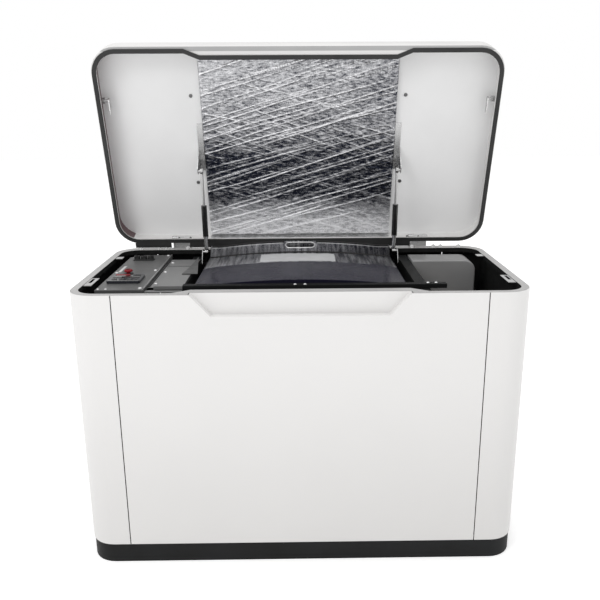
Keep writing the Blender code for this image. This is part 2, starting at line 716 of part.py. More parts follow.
def hinge(name, side, frame):
    """Body leaf with the outer knuckles, lid leaf with the middle knuckle, and their pin."""
    left = side * HINGE_X - HINGE_LENGTH / 2
    right = left + HINGE_LENGTH
    third = HINGE_LENGTH / 3
    face = BACK + GAP
    skin_y = face + HINGE_LEAF_THICKNESS
    reach = HINGE_KNUCKLE_RADIUS * 0.6
    relief = HINGE_KNUCKLE_RADIUS + HINGE_RELIEF
    start = (left - THROUGH, HINGE.y, HINGE.z)
    pin_cut = rod(HINGE_PIN_RADIUS + GAP, start, (1, 0, 0), HINGE_LENGTH + 2 * THROUGH, 20)
    plate = box((left, face, HINGE.z - HINGE_LEAF_HEIGHT), (right, skin_y, HINGE.z - reach))
    low = (left + third - GAP, BACK - THROUGH, HINGE.z - relief)
    gap = box(low, (right - third + GAP, BACK + 2 * THROUGH, HINGE.z))
    ends = [hinge_knuckle(left, left + third - GAP), hinge_knuckle(right - third + GAP, right)]
    solid(f"hinge_body_leaf_{name}", "steel", plate, add=ends, cut=[gap, pin_cut])
    lid_face = LID_BACK + GAP
    plate = box((left, lid_face, HINGE.z + GAP), (right, lid_face + HINGE_LEAF_THICKNESS, LID_TOP - 0.006))
    low = (left - THROUGH, BACK - THROUGH, HINGE.z)
    side_cuts = [
        box(low, (left + third + GAP, BACK + 2 * THROUGH, HINGE.z + relief)),
        box((right - third - GAP, low[1], low[2]), (right + THROUGH, BACK + 2 * THROUGH, HINGE.z + relief)),
    ]
    middle = hinge_knuckle(left + third + GAP, right - third - GAP)
    parts = [in_lid(piece) for piece in side_cuts]
    start = (left - THROUGH, HINGE.y, HINGE.z)
    bore = rod(HINGE_PIN_RADIUS + GAP, start, (1, 0, 0), HINGE_LENGTH + 2 * THROUGH, 20)
    solid(f"hinge_lid_leaf_{name}", "steel", in_lid(plate), add=[in_lid(middle)], cut=[*parts, in_lid(bore)],
          parent=frame)
    head = HINGE_PIN_HEAD
    profile = [(0, -head), (HINGE_KNUCKLE_RADIUS * 0.9, -head), (HINGE_KNUCKLE_RADIUS * 0.9, -GAP)]
    profile += [(HINGE_PIN_RADIUS, -GAP), (HINGE_PIN_RADIUS, HINGE_LENGTH + head), (0, HINGE_LENGTH + head)]
    solid(f"hinge_pin_{name}", "steel", turned(profile, (left, HINGE.y, HINGE.z), (1, 0, 0), 20), smooth=True)


def latch(name, side, frame):
    """Barrel through the lid's end wall, and a cam on its own spindle."""
    wall = LID_SIDE
    inner = wall - LATCH_BARREL_LENGTH
    bore = LATCH_SPINDLE_RADIUS + GAP
    flange = wall + GAP
    profile = [(bore, inner), (LATCH_BARREL_RADIUS, inner), (LATCH_BARREL_RADIUS, flange)]
    profile += [(LATCH_FLANGE_RADIUS, flange), (LATCH_FLANGE_RADIUS, flange + LATCH_FLANGE_THICKNESS)]
    profile += [(bore, flange + LATCH_FLANGE_THICKNESS)]
    centre = (0, LATCH_Y, LATCH_Z)
    body = in_lid(turned(profile, centre, (side, 0, 0)))
    solid(f"latch_barrel_{name}", "steel", body, parent=frame, smooth=True)
    cam_in = WIDTH / 2 - CAM_INBOARD
    cam_out = cam_in + CAM_THICKNESS
    edge = CAM_WIDTH / 2
    points = [(LATCH_Y - edge * 1.3, LATCH_Z), (LATCH_Y - edge * 0.7, LATCH_Z - edge)]
    points += [(LATCH_Y + CAM_LENGTH * 0.6, LATCH_Z - edge), (LATCH_Y + CAM_LENGTH, LATCH_Z - edge * 0.3)]
    points += [(LATCH_Y + CAM_LENGTH, LATCH_Z + edge * 0.5), (LATCH_Y, LATCH_Z + edge * 1.3)]
    plate = prism(points, *sorted((side * cam_in, side * cam_out)))
    spindle = rod(LATCH_SPINDLE_RADIUS, (side * (cam_in + 0.001), LATCH_Y, LATCH_Z), (side, 0, 0),
                  flange + LATCH_FLANGE_THICKNESS - cam_in - 0.001)
    solid(f"latch_cam_{name}", "steel", in_lid(plate), add=[in_lid(spindle)], parent=frame)


# ---- gas struts ----------------------------------------------------------------------------------
def stud_open():
    """The lid stud's place with the lid open."""
    return HINGE + Matrix.Rotation(-LID_OPEN, 3, "X") @ (STUD_CLOSED - HINGE)


def strut_eye(side, distance):
    start = (side * STRUT_X - STRUT_EYE_THICKNESS / 2, 0, distance)
    return tube(STRUT_EYE_RADIUS, STRUT_STUD_RADIUS + GAP, start, (1, 0, 0), STRUT_EYE_THICKNESS, 22)


def strut(name, side):
    """Cylinder and rod along the line from the foot stud to the lid stud."""
    line = stud_open() - STRUT_FOOT
    reach = line.length
    frame = pivot(f"strut_line_{name}", STRUT_FOOT, math.atan2(-line.y, line.z))
    centre = (side * STRUT_X, 0, 0)
    neck = STRUT_EYE_RADIUS * 0.75
    bore = STRUT_ROD_RADIUS + GAP
    profile = [(0, neck), (STRUT_NECK_RADIUS, neck), (STRUT_NECK_RADIUS, STRUT_NECK_END)]
    profile += [(STRUT_CYLINDER_RADIUS, STRUT_NECK_END), (STRUT_CYLINDER_RADIUS, STRUT_CYLINDER_END)]
    profile += [(bore, STRUT_CYLINDER_END), (bore, STRUT_BORE_START), (0, STRUT_BORE_START)]
    body = turned(profile, centre, (0, 0, 1), 20)
    solid(f"strut_cylinder_{name}", "black", body, add=[strut_eye(side, 0)], parent=frame, smooth=True)
    start = (side * STRUT_X, 0, reach - STRUT_ROD_LENGTH)
    body = rod(STRUT_ROD_RADIUS, start, (0, 0, 1), STRUT_ROD_LENGTH - neck, 20)
    solid(f"strut_rod_{name}", "steel", body, add=[strut_eye(side, reach)], parent=frame, smooth=True)


def strut_body_bracket(name, side):
    """A V-shaped plate on the partition with the strut's foot stud."""
    near = side * (STRUT_X + STRUT_PLATE_OFFSET)
    far = side * (STRUT_X + STRUT_PLATE_OFFSET + STRUT_BRACKET_THICKNESS)
    y = STRUT_FOOT.y
    z = STRUT_FOOT.z
    low = PARTITION_TOP - STRUT_FOOT_DROP
    points = [(y - 0.028, low), (y + 0.022, low), (y + 0.026, low + 0.030), (y + 0.010, z + 0.008)]
    points += [(y - 0.010, z + 0.008), (y - 0.034, low + 0.030)]
    plate = prism(points, *sorted((near, far)))
    stud_start = (side * (STRUT_X - STRUT_EYE_THICKNESS / 2 - 0.001), y, z)
    stud_length = STRUT_EYE_THICKNESS / 2 + 0.002 + STRUT_PLATE_OFFSET
    stud = rod(STRUT_STUD_RADIUS, stud_start, (side, 0, 0), stud_length, 16)
    solid(f"strut_body_bracket_{name}", "steel", plate, add=[stud])


def lid_strut_bracket(name, side, frame):
    """A strip inside the lid with a fin whose stud ends just beside the rod's eye."""
    top = LID_TOP - SHEET - GAP
    strip_low = side * (FOIL_WIDTH / 2 + LID_STRIP_GAP)
    strip_high = side * (FOIL_WIDTH / 2 + LID_STRIP_GAP + LID_STRIP_WIDTH)
    y = STUD_CLOSED.y
    z = STUD_CLOSED.z
    front = y + LID_STRIP_FRONT
    strip = box((strip_low, front - LID_STRIP_LENGTH, top - SHEET), (strip_high, front, top))
    near = side * (STRUT_X + STRUT_PLATE_OFFSET)
    far = side * (STRUT_X + STRUT_PLATE_OFFSET + STRUT_BRACKET_THICKNESS)
    points = [(y - LID_FIN_LENGTH, top - SHEET / 2), (y - 0.008, z - 0.004), (y + 0.006, z - 0.004)]
    points += [(y + 0.012, z + 0.004), (y + 0.014, top - SHEET / 2)]
    fin = prism(points, *sorted((near, far)))
    beside = STRUT_EYE_THICKNESS / 2 + GAP
    stud_start = (side * (STRUT_X + beside), y, z)
    stud = rod(STRUT_STUD_RADIUS, stud_start, (side, 0, 0), STRUT_PLATE_OFFSET - beside + 0.001, 16)
    solid(f"lid_strut_bracket_{name}", "steel", in_lid(strip), add=[in_lid(fin), in_lid(stud)], parent=frame)


# ---- bays ----------------------------------------------------------------------------------------
def partition(name, side):
    """An inverted U of sheet standing on the tray's floor, its top edge folded outward."""
    half = PARTITION_HALF_DEPTH
    leg = half - PARTITION_LEG
    points = [(-half, FLOOR), (-leg, FLOOR), (-leg, PARTITION_ARCH), (leg, PARTITION_ARCH), (leg, FLOOR)]
    points += [(half, FLOOR), (half, PARTITION_TOP), (-half, PARTITION_TOP)]
    inner = side * (PARTITION_X - SHEET / 2)
    outer = side * (PARTITION_X + SHEET / 2)
    plate = prism(points, *sorted((inner, outer)))
    fold_low = (side * PARTITION_X, -half + 0.02, PARTITION_TOP - SHEET * 0.9)
    fold_high = (side * (PARTITION_X + PARTITION_FLANGE), half - 0.02, PARTITION_TOP - SHEET * 0.1)
    solid(f"partition_{name}", "black", plate, add=[box(fold_low, fold_high)])


def control_panel():
    """A plate with turned-down edges; its rear corner is cut off beside the rim's round corner."""
    def ring(inset, height):
        left = CONTROL_LEFT + inset
        right = CONTROL_RIGHT - inset
        front = CONTROL_PANEL_FRONT + inset
        back = CONTROL_PANEL_BACK - inset
        clip = CORNER_RADIUS / 2 - inset * 0.6
        points = [(left, front), (right, front), (right, back), (left + clip, back), (left, back - clip)]
        return [(x, y, height) for x, y in points]
    low = DECK_TOP - DECK_SKIRT
    rows = [ring(0, DECK_TOP), ring(0, low), ring(SHEET, low), ring(SHEET, DECK_TOP - SHEET)]
    solid("control_panel", "panel", skin(rows))


def inner_bay_plate():
    left = CONTROL_RIGHT + GAP
    low = (left, INNER_PLATE_FRONT, PARTITION_TOP + GAP)
    high = (-PARTITION_X - SHEET, INNER_PLATE_BACK, PARTITION_TOP + GAP + SHEET)
    solid("inner_bay_plate", "panel", box(low, high))


def controller():
    middle = CONTROL_LEFT + CONTROLLER_FROM_EDGE
    base = DECK_TOP + GAP
    low = (middle - CONTROLLER_WIDTH / 2, CONTROLLER_Y - CONTROLLER_DEPTH / 2, base)
    high = (middle + CONTROLLER_WIDTH / 2, CONTROLLER_Y + CONTROLLER_DEPTH / 2, base + CONTROLLER_HEIGHT)
    button_x = middle + CONTROLLER_WIDTH / 2 - CONTROLLER_BUTTON_FROM_EDGE
    button_y = CONTROLLER_Y - CONTROLLER_DEPTH / 2 + CONTROLLER_BUTTON_FROM_EDGE
    top = base + CONTROLLER_HEIGHT
    well = top - CONTROLLER_BUTTON_DEPTH
    hole = rod(CONTROLLER_BUTTON_RADIUS + GAP, (button_x, button_y, well), (0, 0, 1), 2 * THROUGH)
    body = box(low, high)
    upright = [edge for edge in body.edges if abs(edge.verts[0].co.z - edge.verts[1].co.z) > 0.001]
    radius = CONTROLLER_CORNER_RADIUS
    bmesh.ops.bevel(body, geom=upright, offset=radius, segments=3, affect="EDGES", profile=0.5)
    solid("controller", "black", body, cut=[hole])
    travel = CONTROLLER_BUTTON_PROUD
    start = (button_x, button_y, well + travel)
    body = rod(CONTROLLER_BUTTON_RADIUS, start, (0, 0, 1), CONTROLLER_BUTTON_DEPTH)
    solid("controller_button", "grey", body, smooth=True)


def emergency_stop():
    x = CONTROL_LEFT + ESTOP_FROM_EDGE
    base = DECK_TOP + GAP
    body = tube(ESTOP_BASE_RADIUS, ESTOP_STEM_RADIUS + GAP, (x, ESTOP_Y, base), (0, 0, 1), ESTOP_BASE_HEIGHT)
    solid("estop_base", "black", body, smooth=True)
    head = ESTOP_BASE_HEIGHT + ESTOP_LIFT
    top = head + ESTOP_HEAD_HEIGHT
    foot = ESTOP_LIFT + 0.0005
    profile = [(0, foot), (ESTOP_STEM_RADIUS, foot), (ESTOP_STEM_RADIUS, head), (ESTOP_HEAD_RADIUS, head)]
    profile += [(ESTOP_HEAD_RADIUS, top - 0.003), (ESTOP_HEAD_RADIUS * 0.75, top), (0, top)]
    solid("estop_button", "red", turned(profile, (x, ESTOP_Y, base), (0, 0, 1)), smooth=True)


def socket_bank():
    middle = CONTROL_LEFT + ESTOP_FROM_EDGE
    base = DECK_TOP + GAP
    half = SOCKET_PITCH * 1.5
    low = (middle - half, SOCKET_Y - SOCKET_PITCH / 2, base)
    high = (middle + half, SOCKET_Y + SOCKET_PITCH / 2, base + SOCKET_PLATE_THICKNESS)
    shells = []
    holes = []
    for place in (-1, 0, 1):
        x = middle + place * SOCKET_PITCH
        shells.append(rod(SOCKET_RADIUS, (x, SOCKET_Y, base + 0.001), (0, 0, 1), SOCKET_HEIGHT))
        holes.append(rod(SOCKET_HOLE_RADIUS, (x, SOCKET_Y, base + SOCKET_PLATE_THICKNESS), (0, 0, 1), 0.02))
    solid("socket_bank", "black", box(low, high), add=shells, cut=holes)


def front_cross_rail():
    back = RAIL_FRONT + RAIL_DEPTH
    low = PARTITION_TOP + GAP
    top = low + RAIL_HEIGHT
    section = [(RAIL_FRONT, low), (RAIL_FRONT, top), (back, top), (back, low), (back - SHEET, low)]
    section += [(back - SHEET, top - SHEET), (RAIL_FRONT + SHEET, top - SHEET), (RAIL_FRONT + SHEET, low)]
    solid("front_cross_rail", "black", prism(section, -RAIL_HALF_LENGTH, RAIL_HALF_LENGTH))


def arch(y, low, crown, shoulder=0.0):
    """A row of points across the middle bay: a low arch between two sloping shoulders."""
    inner = COVER_HALF_WIDTH - COVER_SHOULDER_WIDTH
    points = [(-COVER_HALF_WIDTH, y, low - shoulder)]
    for step in range(ARCH_STEPS + 1):
        share = 2 * step / ARCH_STEPS - 1
        points.append((share * inner, y, low + crown * (1 - share * share)))
    points.append((COVER_HALF_WIDTH, y, low - shoulder))
    return points


def engine_cover():
    front = RAIL_FRONT + RAIL_DEPTH + GAP
    low = DECK_TOP - COVER_SKIRT
    under = DECK_TOP - SHEET
    rows = [
        arch(front, low, 0),
        arch(front, DECK_TOP, COVER_CROWN, COVER_SHOULDER),
        arch(COVER_BACK, DECK_TOP, COVER_CROWN, COVER_SHOULDER),
        arch(COVER_BACK, low, 0),
        arch(COVER_BACK - SHEET, low, 0),
        arch(COVER_BACK - SHEET, under, COVER_CROWN, COVER_SHOULDER),
        arch(front + SHEET, under, COVER_CROWN, COVER_SHOULDER),
        arch(front + SHEET, low, 0),
    ]
    solid("engine_cover", "navy", skin(rows, around=False, closed_section=True), smooth=True)


def rear_air_duct():
    """The foil-covered duct top behind the engine cover; it rises to an arched back edge with a hand slot."""
    front = COVER_BACK + GAP
    back = BACK - RIM_WIDTH - RIM_BACK_EXTRA - GAP
    low = DECK_TOP - COVER_SKIRT
    crest = RIM_TOP + DUCT_BACK_RISE
    rows = [
        arch(front, low, 0),
        arch(front, DECK_TOP, COVER_CROWN, COVER_SHOULDER),
        arch(DUCT_RIDGE, DECK_TOP, COVER_CROWN, COVER_SHOULDER / 2),
        arch(back, crest, DUCT_CROWN),
        arch(back, low, 0),
        arch(back - SHEET, low, 0),
        arch(back - SHEET, crest - SHEET, DUCT_CROWN),
        arch(DUCT_RIDGE, DECK_TOP - SHEET, COVER_CROWN, COVER_SHOULDER / 2),
        arch(front + SHEET, DECK_TOP - SHEET, COVER_CROWN, COVER_SHOULDER),
        arch(front + SHEET, low, 0),
    ]
    half = DUCT_SLOT_WIDTH / 2
    slot_y = back - DUCT_SLOT_FROM_EDGE
    slot = box((-half, slot_y - DUCT_SLOT_HEIGHT, DECK_TOP), (half, slot_y, crest + 0.05))
    body = skin(rows, around=False, closed_section=True)
    solid("rear_air_duct", "foil", body, cut=[slot], smooth=True)


def right_bay_cover():
    """A folded hood open at the back, with one rounded upper corner."""
    left = PARTITION_X + PARTITION_FLANGE + GAP
    low = DECK_TOP - RIGHT_COVER_HEIGHT
    def ring(inset, y):
        radius = RIGHT_COVER_RADIUS - inset
        high_x = RIGHT_COVER_END - inset
        points = [(left + inset, low + inset), (high_x, low + inset)]
        points += corner(high_x - radius, DECK_TOP - inset - radius, radius, 0)
        points += [(left + inset, DECK_TOP - inset)]
        return [(x, y, z) for x, z in points]
    fold = RIGHT_COVER_FRONT + RIGHT_COVER_FOLD
    rows = [ring(RIGHT_COVER_FOLD, RIGHT_COVER_FRONT), ring(0, fold), ring(0, RIGHT_COVER_BACK)]
    rows += [ring(SHEET, RIGHT_COVER_BACK), ring(SHEET, fold + SHEET)]
    rows += [ring(RIGHT_COVER_FOLD + SHEET / 2, RIGHT_COVER_FRONT + SHEET)]
    solid("right_bay_cover", "grey", skin(rows), smooth=True)


# ---- engine set ----------------------------------------------------------------------------------
def engine_cradle():
    def ring(inset, height):
        low = (CRADLE_LEFT + inset, -CRADLE_HALF_DEPTH + inset)
        high = (CRADLE_RIGHT - inset, CRADLE_HALF_DEPTH - inset)
        corners = [low, (high[0], low[1]), high, (low[0], high[1])]
        return [(x, y, height) for x, y in corners]
    rows = [ring(0, CRADLE_BOTTOM), ring(0, CRADLE_TOP)]
    rows += [ring(CRADLE_RAIL, CRADLE_TOP), ring(CRADLE_RAIL, CRADLE_BOTTOM)]
    solid("engine_cradle", "black", skin(rows, closed_section=True))
    inset = CRADLE_RAIL / 2
    for name_x, x in (("left", CRADLE_LEFT + inset), ("right", CRADLE_RIGHT - inset)):
        for name_y, y in (("front", -CRADLE_HALF_DEPTH + inset), ("rear", CRADLE_HALF_DEPTH - inset)):
            height = CRADLE_BOTTOM - GAP - FLOOR
            body = rod(MOUNT_RADIUS, (x, y, FLOOR), (0, 0, 1), height, 20)
            solid(f"vibration_mount_{name_x}_{name_y}", "rubber", body, smooth=True)


def alternator():
    axis = (1, 0, 0)
    centre = (0, 0, SHAFT_Z)
    bearing = SHAFT_END_RADIUS + GAP
    wall = STATOR_LEFT + STATOR_END_WALL
    profile = [(bearing, STATOR_LEFT), (STATOR_RADIUS, STATOR_LEFT), (STATOR_RADIUS, STATOR_RIGHT)]
    profile += [(STATOR_BORE, STATOR_RIGHT), (STATOR_BORE, wall), (bearing, wall)]
    foot_low = CRADLE_TOP + GAP
    half = CRADLE_HALF_DEPTH - STATOR_FOOT_SETBACK
    foot_left = (STATOR_LEFT + ROTOR_LEFT) / 2
    foot_top = foot_low + STATOR_FOOT_HEIGHT
    under = SHAFT_Z - STATOR_RADIUS + STATOR_FOOT_HEIGHT
    neck = STATOR_FOOT_NECK / 2
    section = [(-half, foot_low), (half, foot_low), (half, foot_top), (neck, under), (-neck, under)]
    section += [(-half, foot_top)]
    foot = prism(section, foot_left, foot_left + STATOR_FOOT_LENGTH)
    solid("alternator_stator", "cast", turned(profile, centre, axis, 32), add=[foot])
    start = (ROTOR_LEFT, 0, SHAFT_Z)
    body = tube(STATOR_BORE - AIR_GAP, SHAFT_RADIUS + GAP, start, axis, ROTOR_RIGHT - ROTOR_LEFT, 32)
    solid("alternator_rotor", "iron", body, smooth=True)


def crankshaft():
    start = STATOR_LEFT + 0.002
    shoulder = STATOR_LEFT + STATOR_END_WALL + SHAFT_SHOULDER_PLAY
    profile = [(0, start), (SHAFT_END_RADIUS, start), (SHAFT_END_RADIUS, shoulder), (SHAFT_RADIUS, shoulder)]
    profile += [(SHAFT_RADIUS, SHAFT_RIGHT), (0, SHAFT_RIGHT)]
    solid("crankshaft", "steel", turned(profile, (0, 0, SHAFT_Z), (1, 0, 0)), smooth=True)


def crankcase():
    half = CRANKCASE_HALF_DEPTH
    reach = CYLINDER_SEAT * math.sqrt(2)
    shoulder = SHAFT_Z + reach - half
    apex = SHAFT_Z + reach - CRANKCASE_APEX_HALF
    low = CRADLE_TOP + GAP
    points = [(-half, low), (half, low), (half, shoulder), (CRANKCASE_APEX_HALF, apex)]
    points += [(-CRANKCASE_APEX_HALF, apex), (-half, shoulder)]
    start = (CRANKCASE_LEFT - THROUGH, 0, SHAFT_Z)
    length = CRANKCASE_RIGHT - CRANKCASE_LEFT + 2 * THROUGH
    hole = rod(SHAFT_RADIUS + GAP, start, (1, 0, 0), length)
    solid("crankcase", "cast", prism(points, CRANKCASE_LEFT, CRANKCASE_RIGHT), cut=[hole])
    return apex


def cylinder(name, side):
    """Air-cooled cylinder and head with turned fins, leaning from the shaft line."""
    lean = Vector((0, side * math.sin(math.pi / 4), math.cos(math.pi / 4)))
    start = CYLINDER_SEAT + GAP
    pitch = CYLINDER_LENGTH * 0.7 / FIN_COUNT
    profile = [(0, start), (CYLINDER_RADIUS, start)]
    for fin in range(FIN_COUNT):
        low = start + pitch * (fin + 0.5)
        high = low + pitch * 0.4
        profile += [(CYLINDER_RADIUS, low), (FIN_RADIUS, low), (FIN_RADIUS, high), (CYLINDER_RADIUS, high)]
    head = start + CYLINDER_LENGTH * 0.75
    end = start + CYLINDER_LENGTH
    profile += [(CYLINDER_RADIUS, head), (FIN_RADIUS * 0.9, head), (FIN_RADIUS * 0.9, end - 0.006)]
    profile += [(FIN_RADIUS * 0.8, end), (0, end)]
    x = CYLINDER_X - side * CYLINDER_STAGGER
    solid(f"cylinder_{name}", "cast", turned(profile, (x, 0, SHAFT_Z), lean, 20), smooth=True)
    return Vector((x, 0, SHAFT_Z)) + lean * (head + end) / 2


def blower():
    left = CRANKCASE_RIGHT + GAP
    profile = [(BLOWER_RADIUS - SHEET, left), (BLOWER_RADIUS, left), (BLOWER_RADIUS, BLOWER_RIGHT)]
    profile += [(BLOWER_INTAKE, BLOWER_RIGHT), (BLOWER_INTAKE, BLOWER_RIGHT - SHEET)]
    profile += [(BLOWER_RADIUS - SHEET, BLOWER_RIGHT - SHEET)]
    solid("blower_housing", "black", turned(profile, (0, 0, SHAFT_Z), (1, 0, 0), 32), smooth=True)
    plate_right = FLYWHEEL_LEFT + FLYWHEEL_THICKNESS
    start = (FLYWHEEL_LEFT, 0, SHAFT_Z)
    body = tube(FLYWHEEL_RADIUS, SHAFT_RADIUS + GAP, start, (1, 0, 0), FLYWHEEL_THICKNESS, 32)
    blades = bmesh.new()
    for blade in range(FAN_BLADES):
        tip = FLYWHEEL_RADIUS - FAN_BLADE_SETBACK
        low = (plate_right - FAN_BLADE_ROOT, tip - FAN_BLADE_LENGTH, -FAN_BLADE_THICKNESS / 2)
        high = (plate_right + FAN_BLADE_WIDTH, tip, FAN_BLADE_THICKNESS / 2)
        part = box(low, high)
        turn = Matrix.Rotation(2 * math.pi * blade / FAN_BLADES, 3, "X")
        bmesh.ops.rotate(part, cent=(0, 0, 0), matrix=turn, verts=part.verts)
        bmesh.ops.translate(part, vec=(0, 0, SHAFT_Z), verts=part.verts)
        copy = bpy.data.meshes.new("blade")
        part.to_mesh(copy)
        part.free()
        blades.from_mesh(copy)
        bpy.data.meshes.remove(copy)
    solid("flywheel_fan", "cast", body, add=[blades])


def air_cleaner(apex):
    low = (CYLINDER_X - CLEANER_HALF_WIDTH, -CLEANER_HALF_DEPTH, CLEANER_BOTTOM)
    high = (CYLINDER_X + CLEANER_HALF_WIDTH, CLEANER_HALF_DEPTH, CLEANER_BOTTOM + CLEANER_HEIGHT)
    body = box(low, high)
    edges = list(body.edges)
    bmesh.ops.bevel(body, geom=edges, offset=CLEANER_ROUNDING, segments=2, affect="EDGES", profile=0.5)
    neck = rod(CLEANER_NECK, (CYLINDER_X, 0, apex + GAP), (0, 0, 1), CLEANER_BOTTOM - apex + 0.005)
    solid("air_cleaner", "black", body, add=[neck])


def muffler():
    left = PARTITION_X + SHEET / 2 + GAP
    low = (left, -MUFFLER_HALF_DEPTH, MUFFLER_BOTTOM)
    high = (left + MUFFLER_LENGTH, MUFFLER_HALF_DEPTH, MUFFLER_BOTTOM + MUFFLER_HEIGHT)
    body = box(low, high)
    long_edges = [edge for edge in body.edges if abs(edge.verts[0].co.y - edge.verts[1].co.y) > 0.1]
    bmesh.ops.bevel(body, geom=long_edges, offset=MUFFLER_ROUNDING, segments=3, affect="EDGES", profile=0.5)
    solid("muffler", "iron", body)
    return Vector((left + MUFFLER_LENGTH / 2, -MUFFLER_HALF_DEPTH * 0.6, MUFFLER_BOTTOM))


def exhaust_pipe(port, target):
    """Header pipe from the front cylinder's head to the muffler's underside."""
    start = Vector((port.x + FIN_RADIUS * 0.9 + GAP, port.y, port.z))
    run_end = Vector((PIPE_RUN_X, port.y, port.z))
    bend = Vector((target.x, target.y, port.z - PIPE_DROP))
    end = Vector((target.x, target.y, target.z - GAP))
    rise = end - Vector((0, 0, PIPE_RADIUS))
    points = [start]
    for step in range(PIPE_STEPS + 1):
        share = step / PIPE_STEPS
        points.append(run_end.lerp(bend, share).lerp(bend.lerp(rise, share), share))
    points.append(end)
    curve = bpy.data.curves.new("exhaust_pipe", "CURVE")
    curve.dimensions = "3D"
    curve.bevel_depth = PIPE_RADIUS
    curve.bevel_resolution = 3
    curve.use_fill_caps = True
    spline = curve.splines.new("POLY")
    spline.points.add(len(points) - 1)
    for point, place in zip(spline.points, points):
        point.co = (*place, 1)
    result = bpy.data.objects.new("exhaust_pipe", curve)
    bpy.context.collection.objects.link(result)
    curve.materials.append(material("exhaust_pipe", "iron"))


def gas_regulator():
    inner = BACK - SHEET - GAP
    start = inner - REGULATOR_DEPTH
    seat = REGULATOR_RADIUS * 0.7
    rim = start + REGULATOR_DOME + REGULATOR_SLOPE
    profile = [(0, start), (REGULATOR_RADIUS * 0.5, start), (REGULATOR_RADIUS * 0.6, start + REGULATOR_DOME)]
    profile += [(REGULATOR_RADIUS, rim), (REGULATOR_RADIUS, rim + REGULATOR_RIM)]
    profile += [(seat, rim + REGULATOR_RIM + REGULATOR_SLOPE), (seat, inner), (0, inner)]
    body = turned(profile, (REGULATOR_X, 0, REGULATOR_Z), (0, 1, 0))
    solid("gas_regulator", "cast", body, smooth=True)


def fuel_inlet():
    outside = BACK + GAP
    start = BACK - INLET_INSIDE
    flange = outside + INLET_FLANGE_THICKNESS
    end = BACK + INLET_REACH
    profile = [(INLET_HOLE_RADIUS, start), (INLET_RADIUS, start), (INLET_RADIUS, outside)]
    profile += [(INLET_FLANGE_RADIUS, outside), (INLET_FLANGE_RADIUS, flange)]
    profile += [(INLET_RADIUS, flange), (INLET_RADIUS, end), (INLET_HOLE_RADIUS, end)]
    body = turned(profile, (INLET_X, 0, INLET_Z), (0, 1, 0))
    valve_y = BACK + INLET_REACH / 2 + VALVE_OFFSET
    post_low = INLET_RADIUS * 0.8
    length = INLET_BODY / 2 - post_low + VALVE_POST_PROUD
    post = rod(VALVE_POST_RADIUS, (INLET_X, valve_y, INLET_Z + post_low), (0, 0, 1), length, 16)
    solid("fuel_inlet", "brass", body, add=[post])
    lever_z = INLET_Z + INLET_BODY / 2 + VALVE_POST_PROUD + GAP
    low = (INLET_X - LEVER_WIDTH / 2, valve_y - LEVER_WIDTH / 2, lever_z)
    high = (INLET_X + LEVER_LENGTH, valve_y + LEVER_WIDTH / 2, lever_z + LEVER_THICKNESS)
    solid("fuel_valve_lever", "red", box(low, high))


def battery():
    top = FLOOR + BATTERY_HEIGHT
    low = (BATTERY_LEFT, -BATTERY_HALF_DEPTH, FLOOR)
    high = (BATTERY_LEFT + BATTERY_WIDTH, BATTERY_HALF_DEPTH, top)
    posts = []
    for side in (-1, 1):
        x = BATTERY_LEFT + BATTERY_WIDTH - BATTERY_POST_FROM_EDGE
        start = (x, side * (BATTERY_HALF_DEPTH - BATTERY_POST_FROM_EDGE), top - BATTERY_POST_ROOT)
        posts.append(rod(BATTERY_POST_RADIUS, start, (0, 0, 1), BATTERY_POST_HEIGHT, 16))
    solid("battery", "black", box(low, high), add=posts)


def build():
    clear_scene()
    base_tray()
    front_panel()
    back_panel()
    top_rim()
    lid_frame = pivot("lid_hinge_line", HINGE, -LID_OPEN)
    lid_shell(lid_frame)
    lid_gasket(lid_frame)
    lid_foil_pad(lid_frame)
    for name, side in (("left", -1), ("right", 1)):
        side_panel(f"side_panel_{name}", side)
        hinge(name, side, lid_frame)
        latch(name, side, lid_frame)
        strut(name, side)
        strut_body_bracket(name, side)
        lid_strut_bracket(name, side, lid_frame)
        partition(name, side)
    control_panel()
    inner_bay_plate()
    controller()
    emergency_stop()
    socket_bank()
    front_cross_rail()
    engine_cover()
    rear_air_duct()
    right_bay_cover()
    engine_cradle()
    alternator()
    crankshaft()
    apex = crankcase()
    port = cylinder("front", -1)
    cylinder("rear", 1)
    blower()
    air_cleaner(apex)
    exhaust_pipe(port, muffler())
    gas_regulator()
    fuel_inlet()
    battery()


build()
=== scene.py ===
"""A home standby generator with its lid propped open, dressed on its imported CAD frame."""
import json
import math

import bpy
import numpy as np
from mathutils import Matrix, Vector
from mathutils.bvhtree import BVHTree

